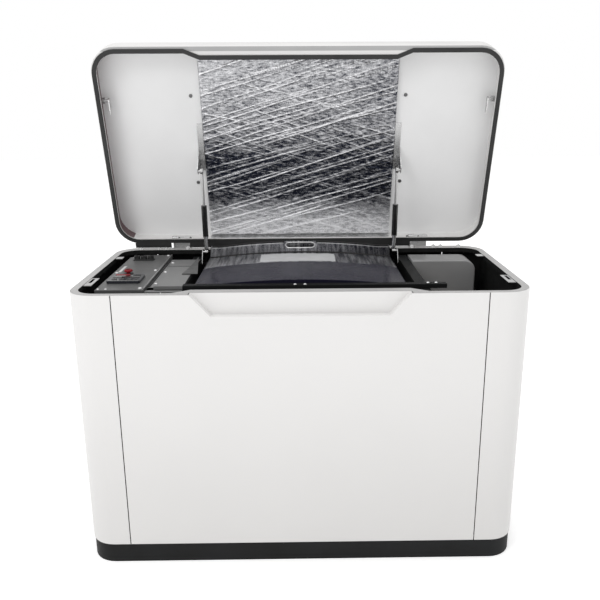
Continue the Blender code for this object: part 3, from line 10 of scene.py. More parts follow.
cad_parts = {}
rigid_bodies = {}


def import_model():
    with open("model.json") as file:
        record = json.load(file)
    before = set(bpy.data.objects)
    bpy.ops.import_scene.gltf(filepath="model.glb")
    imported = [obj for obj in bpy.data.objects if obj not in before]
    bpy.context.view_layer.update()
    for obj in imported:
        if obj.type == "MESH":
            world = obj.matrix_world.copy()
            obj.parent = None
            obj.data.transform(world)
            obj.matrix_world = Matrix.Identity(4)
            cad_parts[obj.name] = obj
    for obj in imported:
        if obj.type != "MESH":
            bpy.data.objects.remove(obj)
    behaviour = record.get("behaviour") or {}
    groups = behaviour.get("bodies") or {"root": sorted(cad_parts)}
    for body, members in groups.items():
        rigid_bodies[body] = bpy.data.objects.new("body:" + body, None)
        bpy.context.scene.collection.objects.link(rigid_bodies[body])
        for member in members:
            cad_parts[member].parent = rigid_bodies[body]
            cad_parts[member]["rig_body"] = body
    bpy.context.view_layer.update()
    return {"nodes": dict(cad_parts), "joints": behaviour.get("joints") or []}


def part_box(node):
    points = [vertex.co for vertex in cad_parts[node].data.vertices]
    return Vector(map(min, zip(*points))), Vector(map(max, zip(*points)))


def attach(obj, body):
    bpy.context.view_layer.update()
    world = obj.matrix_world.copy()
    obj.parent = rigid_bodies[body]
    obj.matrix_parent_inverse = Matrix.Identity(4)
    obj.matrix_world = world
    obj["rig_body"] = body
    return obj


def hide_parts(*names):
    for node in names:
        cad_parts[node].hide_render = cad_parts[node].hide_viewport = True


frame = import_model()

# The camera stands in front of the machine at chest height and looks slightly down on it.
# A long normal lens keeps the front nearly free of perspective.
CAMERA_PLACE = Vector((-0.0012, -1.9808, 1.2324))
CAMERA_PITCH = -0.2746
CAMERA_YAW = 0.0129
CAMERA_ROLL = 0.0052
CAMERA_LENS = 41.36
CAMERA_SHIFT = (-0.0147, 0.0008)

lens = bpy.data.cameras.new("front_camera")
lens.lens = CAMERA_LENS
lens.sensor_width = 36.0
lens.shift_x = CAMERA_SHIFT[0]
lens.shift_y = CAMERA_SHIFT[1]
camera = bpy.data.objects.new("front_camera", lens)
turn = Matrix.Rotation(-CAMERA_YAW, 4, "Z") @ Matrix.Rotation(math.pi / 2 + CAMERA_PITCH, 4, "X")
camera.matrix_world = Matrix.Translation(CAMERA_PLACE) @ turn @ Matrix.Rotation(-CAMERA_ROLL, 4, "Z")
bpy.context.scene.collection.objects.link(camera)
bpy.context.scene.camera = camera
bpy.context.scene.view_settings.view_transform = "Standard"


# A white studio: a pale floor, an even white surround and two soft lamps.
# Every finish on the machine is built with the same two small classes that the floor uses first.
class Value:
    """One number or colour over a surface; arithmetic on a number adds Math nodes."""

    def __init__(self, finish, socket):
        self.finish = finish
        self.socket = socket

    def _math(self, operation, first, second):
        return self.finish.add("ShaderNodeMath", {"operation": operation}, {0: first, 1: second})

    def __add__(self, other):
        return self._math("ADD", self, other)

    def __radd__(self, other):
        return self._math("ADD", other, self)

    def __sub__(self, other):
        return self._math("SUBTRACT", self, other)

    def __rsub__(self, other):
        return self._math("SUBTRACT", other, self)

    def __mul__(self, other):
        return self._math("MULTIPLY", self, other)

    def __rmul__(self, other):
        return self._math("MULTIPLY", other, self)

    def __pow__(self, other):
        return self._math("POWER", self, other)


class Finish:
    """A paint, plating, plastic or foil: a node material around one Principled shader."""

    def __init__(self, name, roughness, metallic=0.0, **constants):
        self.material = bpy.data.materials.new(name)
        self.material.use_nodes = True
        self.tree = self.material.node_tree
        self.shader = self.tree.nodes["Principled BSDF"]
        self.shader.inputs["Roughness"].default_value = roughness
        self.shader.inputs["Metallic"].default_value = metallic
        sockets = {socket.name.lower(): socket for socket in self.shader.inputs}
        for constant, value in constants.items():
            sockets[constant.replace("_", " ")].default_value = value
        self.place = self.add("ShaderNodeTexCoord", output="Object")

    def add(self, kind, settings=None, inputs=None, output=0):
        """One node: its type, its settings, the values or links of its sockets, and the output wanted."""
        node = self.tree.nodes.new(kind)
        for setting, value in (settings or {}).items():
            setattr(node, setting, value)
        for socket, value in (inputs or {}).items():
            if isinstance(value, Value):
                self.tree.links.new(value.socket, node.inputs[socket])
            else:
                node.inputs[socket].default_value = value
        return Value(self, node.outputs[output])

    def feed(self, socket, value):
        self.tree.links.new(value.socket, self.shader.inputs[socket])

    def stretched(self, stretch, turned=(0.0, 0.0, 0.0)):
        inputs = {"Vector": self.place, "Scale": stretch, "Rotation": turned}
        return self.add("ShaderNodeMapping", inputs=inputs)

    def noise(self, scale, detail=3.0, place=None, output="Fac"):
        inputs = {"Vector": place or self.place, "Scale": scale, "Detail": detail}
        return self.add("ShaderNodeTexNoise", inputs=inputs, output=output)

    def axis(self, name):
        return self.add("ShaderNodeSeparateXYZ", inputs={0: self.place}, output=name)

    def between(self, value, low, high, start=0.0, end=1.0, ease="LINEAR"):
        inputs = {"Value": value, "From Min": low, "From Max": high, "To Min": start, "To Max": end}
        return self.add("ShaderNodeMapRange", {"interpolation_type": ease}, inputs)

    def mix(self, share, first, second):
        """The first colour where share is 0 and the second where it is 1."""
        settings = {"data_type": "RGBA"}
        return self.add("ShaderNodeMix", settings, {0: share, 6: first, 7: second}, output=2)

    def bump(self, height, strength, distance):
        inputs = {"Height": height, "Strength": strength, "Distance": distance}
        self.feed("Normal", self.add("ShaderNodeBump", inputs=inputs))


def grey(level, warmth=0.0):
    """A neutral colour, a little warmer or cooler."""
    return (level * (1 + warmth), level, level * (1 - warmth), 1.0)


def coat(name, tone, shade, roughness, metallic=0.0, mottle=5.0, grain=600.0, relief=0.1, depth=0.0004,
         **constants):
    """An everyday finish: two near tones in soft patches, uneven gloss and a fine grain."""
    finish = Finish(name, roughness, metallic, **constants)
    patches = finish.noise(mottle, 4.0)
    fine = finish.noise(grain, 2.0)
    finish.feed("Base Color", finish.mix(finish.between(patches, 0.35, 0.65), tone, shade))
    finish.feed("Roughness", roughness + 0.16 * (finish.noise(mottle * 3.0) - 0.5) + 0.08 * (fine - 0.5))
    finish.bump(fine, relief, depth)
    return finish.material


def clear_selection():
    """Nothing selected, so that the next operator acts only on what it is given."""
    if bpy.context.object and bpy.context.object.mode != "OBJECT":
        bpy.ops.object.mode_set(mode="OBJECT")
    bpy.ops.object.select_all(action="DESELECT")


def take(piece):
    """Make one object the only selected and active one."""
    clear_selection()
    piece.select_set(True)
    bpy.context.view_layer.objects.active = piece


def material_to(piece, material):
    piece.data.materials.clear()
    piece.data.materials.append(material)


FLOOR_SIZE = 30.0
FLOOR_GLOW = 0.36
SURROUND_LIGHT = 0.80
SURROUND_SEEN = 1.0
KEY_LAMP = {"place": (-2.0, -2.4, 2.8), "target": (0, 0, 0.9), "size": 1.2, "power": 20}
TOP_LAMP = {"place": (-0.3, -0.6, 3.8), "target": (0, 0, 0.4), "size": 2.6, "power": 30}

clear_selection()
bpy.ops.mesh.primitive_plane_add(size=FLOOR_SIZE)
floor = bpy.context.object
floor.name = "studio_floor"
material_to(floor, coat("studio_floor", grey(0.96), grey(0.94), 0.8, mottle=0.6, grain=80.0,
                        emission_color=grey(1.0), emission_strength=FLOOR_GLOW))

surround = bpy.data.worlds.new("white_surround")
surround.use_nodes = True
sky = surround.node_tree.nodes
lighting = sky["Background"]
backdrop = sky.new("ShaderNodeBackground")
for background, strength in ((lighting, SURROUND_LIGHT), (backdrop, SURROUND_SEEN)):
    background.inputs["Color"].default_value = grey(1.0)
    background.inputs["Strength"].default_value = strength
ray = sky.new("ShaderNodeLightPath")
chooser = sky.new("ShaderNodeMixShader")
surround.node_tree.links.new(ray.outputs["Is Camera Ray"], chooser.inputs[0])
surround.node_tree.links.new(lighting.outputs[0], chooser.inputs[1])
surround.node_tree.links.new(backdrop.outputs[0], chooser.inputs[2])
surround.node_tree.links.new(chooser.outputs[0], sky["World Output"].inputs["Surface"])
bpy.context.scene.world = surround


def lamp(name, place, target, size, power):
    """A square area lamp at a place, facing its target."""
    light = bpy.data.lights.new(name, "AREA")
    light.energy = power
    light.size = size
    stand = bpy.data.objects.new(name, light)
    stand.location = place
    stand.rotation_euler = (Vector(target) - Vector(place)).to_track_quat("-Z", "Y").to_euler()
    bpy.context.scene.collection.objects.link(stand)


lamp("key_lamp", **KEY_LAMP)
lamp("top_lamp", **TOP_LAMP)


# The base tray is a folded steel pan, powder coated satin black, that the panels stand on.
# A finished copy of a CAD node has its flat faces joined and its edges rounded as a folded sheet has.
def finished(node, material, edge=0.0006, rounds=2, sharp=35.0, name=None):
    """A copy of a CAD node: merged, flat faces joined, edges rounded, in its own finish."""
    source = frame["nodes"][node]
    piece = bpy.data.objects.new(name or node + "_made", source.data.copy())
    bpy.context.scene.collection.objects.link(piece)
    piece.data.materials.clear()
    piece.data.materials.append(material)
    take(piece)
    bpy.ops.object.mode_set(mode="EDIT")
    bpy.ops.mesh.select_all(action="SELECT")
    bpy.ops.mesh.remove_doubles(threshold=0.00002)
    bpy.ops.mesh.dissolve_limited(angle_limit=math.radians(0.4))
    bpy.ops.object.mode_set(mode="OBJECT")
    rounding = piece.modifiers.new("rounding", "BEVEL")
    rounding.width = edge
    rounding.segments = rounds
    rounding.limit_method = "ANGLE"
    rounding.angle_limit = math.radians(sharp)
    rounding.harden_normals = True
    bpy.ops.object.modifier_apply(modifier=rounding.name)
    bpy.ops.object.shade_smooth_by_angle(angle=math.radians(sharp))
    evening = piece.modifiers.new("evening", "WEIGHTED_NORMAL")
    evening.keep_sharp = True
    bpy.ops.object.modifier_apply(modifier=evening.name)
    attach(piece, source["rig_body"])
    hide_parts(node)
    return piece


satin_black = coat("satin_black_powder", grey(0.008), grey(0.013, -0.05), 0.55, grain=1400.0, relief=0.2,
                   specular_ior_level=0.14)
finished("base_tray", satin_black, edge=0.0015)


# The cabinet is four folded steel panels in white powder coat with a faint orange peel.
# The end panels wrap round the corners, and the front and back panels hook in between them.
def white_powder():
    finish = Finish("white_powder", 0.42, coat_weight=0.15, coat_roughness=0.25)
    # The colour darkens towards the floor, below 0.75 m: painted shade on the lower panels.
    low = finish.between(finish.axis("Z"), 0.0, 0.75, ease="SMOOTHSTEP")
    patches = finish.noise(3.0, 4.0)
    own_tone = finish.mix(patches, grey(0.74, 0.010), grey(0.71, 0.012))
    painted_shade_tone = finish.mix(patches, grey(0.62, 0.015), grey(0.58, 0.015))
    finish.feed("Base Color", finish.mix(low, painted_shade_tone, own_tone))
    peel = finish.noise(420.0, 2.0)
    finish.feed("Roughness", 0.40 + 0.12 * (finish.noise(9.0) - 0.5) + 0.06 * (peel - 0.5))
    finish.bump(peel, 0.08, 0.0004)
    return finish.material


def repaint(piece, material, chosen):
    """Give the faces that a rule picks out another finish."""
    piece.data.materials.append(material)
    slot = len(piece.data.materials) - 1
    for face in piece.data.polygons:
        if chosen(face):
            face.material_index = slot


def faces_inward(face):
    """Whether an upright face looks towards the middle of the machine."""
    across = face.normal.x * face.center.x + face.normal.y * face.center.y
    return abs(face.normal.z) < 0.5 and across < 0


white = white_powder()
foam = coat("black_foam_lining", grey(0.008), grey(0.014), 0.85, mottle=30.0, grain=420.0, relief=0.6,
            depth=0.002, specular_ior_level=0.15)
for panel in ("side_panel_left", "side_panel_right", "front_panel", "back_panel"):
    repaint(finished(panel, white, edge=0.0008), foam, faces_inward)


# The top rim is a pressed channel that ties the panels together and carries the lid gasket.
# Its keeper tabs catch the lid's two latches.
# The rim's mid grey, darker than the white panels, is painted shade for its upward faces, which get little
# light from above.
rim_painted_shade = coat("rim_painted_shade_powder", grey(0.47, 0.01), grey(0.42, 0.01), 0.45, grain=700.0, relief=0.12)
zinc = coat("zinc_plate", grey(0.62), grey(0.52), 0.26, 1.0, grain=700.0, relief=0.08)
rim = finished("top_rim", rim_painted_shade, edge=0.0007)
repaint(rim, foam, faces_inward)
rim_top = max(face.center.z for face in rim.data.polygons)
TAB_DROP = 0.0008
KEEPER_EDGE = 0.572
repaint(rim, zinc, lambda face: face.center.z < rim_top - TAB_DROP and face.normal.z > 0.9
        and abs(face.center.x) < KEEPER_EDGE)


# Hexagon nuts hold the rim to the back panel and pan head screws hold the deck plates, all zinc plated.
# One of each is modelled and copied to its places.
def pick(piece, chosen):
    """Go into edit mode with only the faces that a rule picks out selected."""
    take(piece)
    bpy.ops.object.mode_set(mode="EDIT")
    bpy.ops.mesh.select_mode(type="FACE")
    bpy.ops.mesh.select_all(action="DESELECT")
    bpy.ops.object.mode_set(mode="OBJECT")
    for face in piece.data.polygons:
        face.select = chosen(face)
    bpy.ops.object.mode_set(mode="EDIT")


def round_blank(sides, radius, height):
    """A short bar standing on the origin, to be worked into a fastener."""
    clear_selection()
    bpy.ops.mesh.primitive_cylinder_add(vertices=sides, radius=radius, depth=height,
                                        location=(0, 0, height / 2))
    bpy.ops.object.transform_apply(location=True, rotation=True, scale=True)
    return bpy.context.object


def top_face(face):
    return face.normal.z > 0.9


def pan_screw(radius):
    """A domed screw head with its drive recess."""
    screw = round_blank(18, radius, radius * 0.35)
    pick(screw, top_face)
    bpy.ops.mesh.inset(thickness=radius * 0.28, depth=radius * 0.24)
    bpy.ops.mesh.inset(thickness=radius * 0.26)
    bpy.ops.mesh.inset(thickness=radius * 0.06, depth=-radius * 0.35)
    bpy.ops.object.mode_set(mode="OBJECT")
    bpy.ops.object.shade_smooth_by_angle(angle=math.radians(40))
    return screw


def stud_nut(radius, height):
    """A hexagon nut on its washer with the stud's end showing."""
    nut = round_blank(6, radius, height)
    pick(nut, top_face)
    bpy.ops.mesh.inset(thickness=radius * 0.14, depth=height * 0.10)
    bpy.ops.mesh.inset(thickness=radius * 0.34)
    bpy.ops.mesh.inset(thickness=radius * 0.02, depth=height * 0.45)
    pick(nut, lambda face: face.normal.z < -0.9)
    bpy.ops.mesh.inset(thickness=-radius * 0.35)
    bpy.ops.mesh.extrude_region_move(TRANSFORM_OT_translate={"value": (0, 0, -height * 0.12)})
    bpy.ops.object.mode_set(mode="OBJECT")
    nut.data.transform(Matrix.Translation((0, 0, height * 0.12)))
    return nut


def copies(master, name, places, material, body="cabinet"):
    """Set copies of a modelled fastener at their places, each with its own mesh, and drop the master."""
    for number, place in enumerate(places):
        copy = bpy.data.objects.new(f"{name}_{number + 1}", master.data.copy())
        bpy.context.scene.collection.objects.link(copy)
        copy.data.transform(place)
        material_to(copy, material)
        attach(copy, body)
    bpy.data.objects.remove(master)


def surface(*nodes):
    """A search tree over CAD nodes, for setting fittings down on them."""
    points = []
    faces = []
    for node in nodes:
        mesh = frame["nodes"][node].data
        first = len(points)
        points += [vertex.co.copy() for vertex in mesh.vertices]
        faces += [[first + corner for corner in face.vertices] for face in mesh.polygons]
    return BVHTree.FromPolygons(points, faces)


def seat(tree, x, y, lift=0.0):
    """A place standing on the surface below a point, square to it."""
    place, normal, _, _ = tree.ray_cast(Vector((x, y, 1.0)), Vector((0, 0, -1)))
    return Matrix.Translation(place + normal * lift) @ normal.to_track_quat("Z", "Y").to_matrix().to_4x4()


RIM_NUT_X = (0.528, 0.468, 0.444, 0.373)
RIM_NUT_Y = 0.279
RIM_NUT_RADIUS = 0.0062
RIM_NUT_HEIGHT = 0.006
rim_surface = surface("top_rim")
nut_places = [seat(rim_surface, side * x, RIM_NUT_Y) for side in (-1, 1) for x in RIM_NUT_X]
bright_zinc = coat("bright_zinc", grey(0.92), grey(0.80), 0.22, 0.35, grain=900.0, relief=0.05)
copies(stud_nut(RIM_NUT_RADIUS, RIM_NUT_HEIGHT), "rim_nut", nut_places, bright_zinc)


# The engine stands on a welded cradle with four rubber mounts, all hidden low in the cabinet.
# Cradle and frame are black, the mounts natural rubber.
rubber = coat("black_rubber", grey(0.018), grey(0.028), 0.72, grain=900.0, relief=0.25)
finished("engine_cradle", satin_black)
for side in ("left", "right"):
    for end in ("front", "rear"):
        finished(f"vibration_mount_{side}_{end}", rubber)


# The engine is an air-cooled V-twin with its shaft along the cabinet, in bare castings.
# A sheet steel blower housing covers the flywheel fan and sends air over the cylinders.
cast_alloy = coat("cast_alloy", grey(0.42), grey(0.33), 0.48, 0.85, grain=350.0, relief=0.5, depth=0.0008)
machined = coat("machined_steel", grey(0.55), grey(0.48), 0.28, 1.0, grain=1500.0, relief=0.05)
for casting in ("crankcase", "cylinder_front", "cylinder_rear", "alternator_stator"):
    finished(casting, cast_alloy, edge=0.0004)
finished("blower_housing", satin_black)
finished("flywheel_fan", coat("fan_plastic", grey(0.03), grey(0.045), 0.5))
finished("crankshaft", machined, edge=0.0004)
finished("alternator_rotor", coat("rotor_iron", grey(0.18, 0.05), grey(0.12, 0.08), 0.5, 0.9), edge=0.0004)


# Around the engine sit the air cleaner, the gas regulator with its inlet, the muffler and the battery.
# The muffler and its pipe are heat-tinted steel, the regulator is cast.
finished("air_cleaner", coat("cleaner_plastic", grey(0.022), grey(0.032), 0.55, grain=500.0, relief=0.3))
heat_tint = coat("heat_tinted_steel", (0.34, 0.26, 0.20, 1), (0.20, 0.18, 0.19, 1), 0.45, 0.9, mottle=9.0)
finished("muffler", heat_tint)
finished("exhaust_pipe", heat_tint)
finished("gas_regulator", cast_alloy)
brass = coat("brass", (0.62, 0.42, 0.16, 1), (0.50, 0.33, 0.13, 1), 0.3, 1.0, grain=1200.0)
finished("fuel_inlet", brass, edge=0.0004)
finished("fuel_valve_lever", coat("red_grip", (0.45, 0.02, 0.015, 1), (0.36, 0.015, 0.012, 1), 0.4))
finished("battery", coat("battery_case", grey(0.02), grey(0.03), 0.5, grain=500.0, relief=0.3))


# Two folded partitions split the cabinet into three bays, and grey deck plates close the left bay.
# They are satin grey powder coat over steel.
deck_grey = coat("deck_powder", grey(0.085), grey(0.105), 0.38, grain=1100.0, relief=0.12)
finished("partition_left", satin_black)
finished("partition_right", satin_black)
finished("control_panel", deck_grey)
finished("inner_bay_plate", coat("inner_plate_powder", grey(0.17), grey(0.20), 0.4, grain=1100.0))
finished("socket_bank", coat("connector_plastic", grey(0.010), grey(0.02), 0.35), edge=0.0004)
DECK_SCREWS = (
    (-0.532, 0.205), (-0.537, -0.010), (-0.430, 0.228), (-0.430, 0.020), (-0.430, -0.190),
    (-0.401, 0.020), (-0.401, 0.145), (-0.402, -0.120), (-0.366, -0.142), (-0.346, -0.142),
)
DECK_SCREW_RADIUS = 0.0048
EDGE_SCREWS = ((-0.541, -0.196), (-0.520, -0.197), (-0.356, -0.150))
EDGE_SCREW_RADIUS = 0.0034
deck = surface("control_panel", "inner_bay_plate")
deck_places = [seat(deck, x, y) for x, y in DECK_SCREWS]
copies(pan_screw(DECK_SCREW_RADIUS), "deck_screw", deck_places, bright_zinc)
edge_places = [seat(deck, x, y) for x, y in EDGE_SCREWS]
copies(pan_screw(EDGE_SCREW_RADIUS), "edge_screw", edge_places, bright_zinc)


def slab(name, low, high, material, corner=0.0, edge=0.0003, body="cabinet"):
    """A small plate or bar with rounded upright corners and broken edges."""
    size = Vector(high) - Vector(low)
    clear_selection()
    bpy.ops.mesh.primitive_cube_add(size=1.0, location=((Vector(low) + Vector(high)) / 2).to_tuple())
    piece = bpy.context.object
    piece.name = name
    piece.scale = size
    bpy.ops.object.transform_apply(location=True, rotation=True, scale=True)
    if corner:
        bpy.ops.object.mode_set(mode="EDIT")
        bpy.ops.mesh.select_mode(type="EDGE")
        bpy.ops.mesh.select_all(action="DESELECT")
        bpy.ops.object.mode_set(mode="OBJECT")
        for line in piece.data.edges:
            first, second = (piece.data.vertices[end].co for end in line.vertices)
            line.select = abs(first.z - second.z) > size.z / 2
        bpy.ops.object.mode_set(mode="EDIT")
        bpy.ops.mesh.bevel(offset=corner, segments=5)
        bpy.ops.object.mode_set(mode="OBJECT")
    rounding = piece.modifiers.new("rounding", "BEVEL")
    rounding.width = edge
    rounding.segments = 2
    rounding.limit_method = "ANGLE"
    bpy.ops.object.modifier_apply(modifier=rounding.name)
    bpy.ops.object.shade_smooth_by_angle(angle=math.radians(35))
    material_to(piece, material)
    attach(piece, body)
    return piece


# Between the two plates runs a steel trim strip with a rubber seal beside it.
# The inner plate has a sealed seam across it, and the panel a blank pale label.
DIVIDER_WIDTH = 0.0035
DIVIDER_RISE = 0.0022
DIVIDER_LAP = 0.004
DIVIDER_FROM_FRONT = 0.008
SEAL_FROM_SIDE = 0.001
SEAL_FROM_ENDS = 0.002
SEAL_WIDTH = 0.0055
SEAM_PLACE = 0.098
SEAM_WIDTH = 0.00256
SEAM_FROM_LEFT = 0.010
SEAM_FROM_RIGHT = 0.012
SEAM_RISE = 0.0006
LABEL_FROM = (-0.536, 0.002)
LABEL_TO = (-0.528, 0.080)
panel_low, panel_high = (Vector(point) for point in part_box("control_panel"))
plate_low, plate_high = (Vector(point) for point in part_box("inner_bay_plate"))
trim_left = panel_high.x - DIVIDER_LAP
seal_left = plate_low.x + SEAL_FROM_SIDE
trim_steel = coat("trim_steel", grey(0.36), grey(0.30), 0.3, 0.6, grain=900.0)
slab("divider_trim", (trim_left, panel_low.y + DIVIDER_FROM_FRONT, panel_high.z),
     (trim_left + DIVIDER_WIDTH, panel_high.y - DIVIDER_LAP, panel_high.z + DIVIDER_RISE), trim_steel)
slab("divider_seal", (seal_left, plate_low.y + SEAL_FROM_ENDS, plate_high.z),
     (seal_left + SEAL_WIDTH, plate_high.y - SEAL_FROM_ENDS, plate_high.z + DIVIDER_RISE), rubber)
slab("plate_seam", (plate_low.x + SEAM_FROM_LEFT, SEAM_PLACE, plate_high.z),
     (plate_high.x - SEAM_FROM_RIGHT, SEAM_PLACE + SEAM_WIDTH, plate_high.z + SEAM_RISE), rubber)
label_white = coat("blank_label", grey(0.62), grey(0.56), 0.4, mottle=40.0)
slab("blank_strip_label", (*LABEL_FROM, panel_high.z), (*LABEL_TO, panel_high.z + SEAM_RISE), label_white)


# Behind the louvres of each end panel hangs a black foam baffle, glued to the frame.
# It keeps light and spray out of the cabinet and lets the air pass round its edges.
BAFFLE_FROM_WALL = 0.007
BAFFLE_WALL = 0.004
BAFFLE_HALF = 0.235
BAFFLE_FOOT = 0.28
BAFFLE_HEAD = 0.56
wall_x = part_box("side_panel_right")[1][0]
for side, end in ((-1, "left"), (1, "right")):
    near = side * (wall_x - BAFFLE_FROM_WALL)
    far = side * (wall_x - BAFFLE_FROM_WALL - BAFFLE_WALL)
    slab(f"louvre_baffle_{end}", (min(near, far), -BAFFLE_HALF, BAFFLE_FOOT),
         (max(near, far), BAFFLE_HALF, BAFFLE_HEAD), foam, edge=0.0008)


# The controller is a low black box with a rounded bezel, a dark display and three keys.
# The emergency stop is a flat red mushroom button on a black collar.
SCREEN_MARGIN = 0.009
SCREEN_DEPTH = 0.034
SCREEN_RISE = 0.0008
LIGHT_FROM_BACK = 0.0055
LIGHT_DEPTH = 0.0027
LIGHT_END = 0.050
STRIP_RISE = 0.0010
HIGHLIGHT_STRIP_MARGIN = 0.003
HIGHLIGHT_STRIP_DEPTH = 0.0035
KEY_COUNT = 3
KEY_START = 0.012
KEY_PITCH = 0.021
KEY_WIDTH = 0.013
KEY_FROM_FRONT = 0.013
KEY_DEPTH = 0.011
KEY_RISE = 0.0016
gloss_black = coat("controller_plastic", (0.010, 0.011, 0.016, 1), (0.016, 0.017, 0.024, 1), 0.2,
                   grain=900.0)
finished("controller", gloss_black, edge=0.0018, rounds=4)
box_low, box_high = (Vector(point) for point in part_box("controller"))
screen_back = box_high.y - SCREEN_MARGIN
slab("controller_display", (box_low.x + SCREEN_MARGIN, screen_back - SCREEN_DEPTH, box_high.z),
     (box_high.x - SCREEN_MARGIN, screen_back, box_high.z + SCREEN_RISE),
     coat("display_glass", grey(0.010), grey(0.016), 0.08, grain=200.0, relief=0.02), corner=0.003)
red_light = coat("display_light", (0.30, 0.02, 0.03, 1), (0.22, 0.02, 0.03, 1), 0.4,
                 emission_color=(1.0, 0.08, 0.10, 1.0), emission_strength=0.12)
light_front = box_high.y - LIGHT_FROM_BACK
slab("controller_light", (box_low.x + SCREEN_MARGIN, light_front, box_high.z),
     (box_low.x + LIGHT_END, light_front + LIGHT_DEPTH, box_high.z + STRIP_RISE), red_light, corner=0.001)
# A pale steel strip along the box's front edge is a painted highlight: it stands for the light caught on that
# edge.
highlight_strip_front = box_low.y + HIGHLIGHT_STRIP_MARGIN
slab("controller_highlight_strip", (box_low.x + HIGHLIGHT_STRIP_MARGIN, highlight_strip_front, box_high.z),
     (box_high.x - HIGHLIGHT_STRIP_MARGIN, highlight_strip_front + HIGHLIGHT_STRIP_DEPTH, box_high.z + STRIP_RISE), trim_steel,
     corner=0.0012)
key_rubber = coat("key_rubber", grey(0.05), grey(0.07), 0.5)
key_front = box_low.y + KEY_FROM_FRONT
for key in range(KEY_COUNT):
    key_left = box_low.x + KEY_START + KEY_PITCH * key
    slab(f"controller_key_{key + 1}", (key_left, key_front, box_high.z),
         (key_left + KEY_WIDTH, key_front + KEY_DEPTH, box_high.z + KEY_RISE), key_rubber, corner=0.003)
finished("controller_button", coat("button_black", grey(0.03), grey(0.045), 0.35))
finished("estop_base", coat("estop_collar", grey(0.02), grey(0.03), 0.4))
DISH_RIM = 0.0035
DISH_DEPTH = 0.0012
DISH_SLACK = 0.0004
button_red = coat("button_red", (0.24, 0.004, 0.010, 1), (0.18, 0.003, 0.008, 1), 0.4,
                  specular_ior_level=0.25)
stop_button = finished("estop_button", button_red, edge=0.0012, rounds=3)
button_top = max(vertex.co.z for vertex in stop_button.data.vertices)
pick(stop_button, lambda face: face.center.z > button_top - DISH_SLACK and top_face(face))
bpy.ops.mesh.inset(thickness=DISH_RIM, depth=-DISH_DEPTH)
bpy.ops.object.mode_set(mode="OBJECT")
repaint(stop_button, coat("button_centre", (0.10, 0.004, 0.005, 1), (0.07, 0.004, 0.005, 1), 0.5),
        lambda face: abs(button_top - DISH_DEPTH - face.center.z) < DISH_SLACK and top_face(face))


# A thin bent steel gusset closes the corner between the inner plate and the engine bay.
# It is cut from grey sheet and curls up towards its rear point.
GUSSET_REAR = Vector((-0.326, 0.196, 0.7680))
GUSSET_LEFT = Vector((-0.348, -0.010, 0.7602))
GUSSET_RIGHT = Vector((-0.301, -0.014, 0.7615))
GUSSET_CURL = 0.0035
GUSSET_POINT = 0.96
GUSSET_WALL = 0.0012
GUSSET_CLEAR = 0.0004


def gusset():
    """The triangle of sheet, bent from a grid and given its wall."""
    clear_selection()
    bpy.ops.mesh.primitive_grid_add(x_subdivisions=8, y_subdivisions=16, size=1.0)
    sheet = bpy.context.object
    sheet.name = "bay_gusset"
    for vertex in sheet.data.vertices:
        across = vertex.co.x + 0.5
        along = GUSSET_POINT * (vertex.co.y + 0.5)
        foot = GUSSET_LEFT.lerp(GUSSET_RIGHT, across)
        vertex.co = foot.lerp(GUSSET_REAR, along)
        vertex.co.z -= GUSSET_CURL * math.sin(math.pi * along) * (1 - across)
        vertex.co.z = max(vertex.co.z, plate_high.z + GUSSET_CLEAR)
    take(sheet)
    wall = sheet.modifiers.new("wall", "SOLIDIFY")
    wall.thickness = GUSSET_WALL
    wall.offset = 1.0
    bpy.ops.object.modifier_apply(modifier=wall.name)
    bpy.ops.object.mode_set(mode="EDIT")
    bpy.ops.mesh.select_all(action="SELECT")
    bpy.ops.mesh.normals_make_consistent(inside=False)
    bpy.ops.object.mode_set(mode="OBJECT")
    bpy.ops.object.shade_smooth_by_angle(angle=math.radians(40))
    material_to(sheet, coat("gusset_powder", grey(0.055), grey(0.09), 0.4, mottle=25.0, grain=1100.0))
    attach(sheet, "cabinet")


gusset()


# A sound-deadening cover in glossy dark navy closes the engine bay, between a front rail and the rear duct.
# The duct top is lined with the same foil-faced mat as the lid.
navy = coat("navy_gloss", (0.010, 0.009, 0.020, 1), (0.012, 0.011, 0.024, 1), 0.26, grain=300.0, relief=0.03,
            specular_ior_level=0.13)
finished("engine_cover", navy, edge=0.0025, rounds=3)


def duct_foil():
    """Bright foil in painted reflection: streaks up the slope painted light and dark, lighter to the left."""
    finish = Finish("duct_foil", 0.3, metallic=1.0)
    streak = finish.noise(1.0, 3.0, finish.stretched((95.0, 9.0, 9.0)))
    fine = finish.noise(260.0, 3.0)
    # Lighter to the left and streaked light and dark in its colour: painted reflection.
    side = finish.between(finish.axis("X"), 0.30, -0.30)
    tone = 0.10 + 0.30 * side + 1.7 * (streak - 0.5) + 0.9 * (fine - 0.5)
    finish.feed("Base Color", finish.mix(tone, (0.035, 0.035, 0.050, 1), (0.93, 0.93, 0.95, 1)))
    finish.feed("Roughness", 0.24 + 0.2 * fine)
    finish.bump(fine + 0.8 * streak, 0.6, 0.0015)
    return finish.material


foil_plain = duct_foil()
finished("rear_air_duct", foil_plain, edge=0.001)
duct = surface("rear_air_duct")
duct_low, duct_high = (Vector(point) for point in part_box("rear_air_duct"))


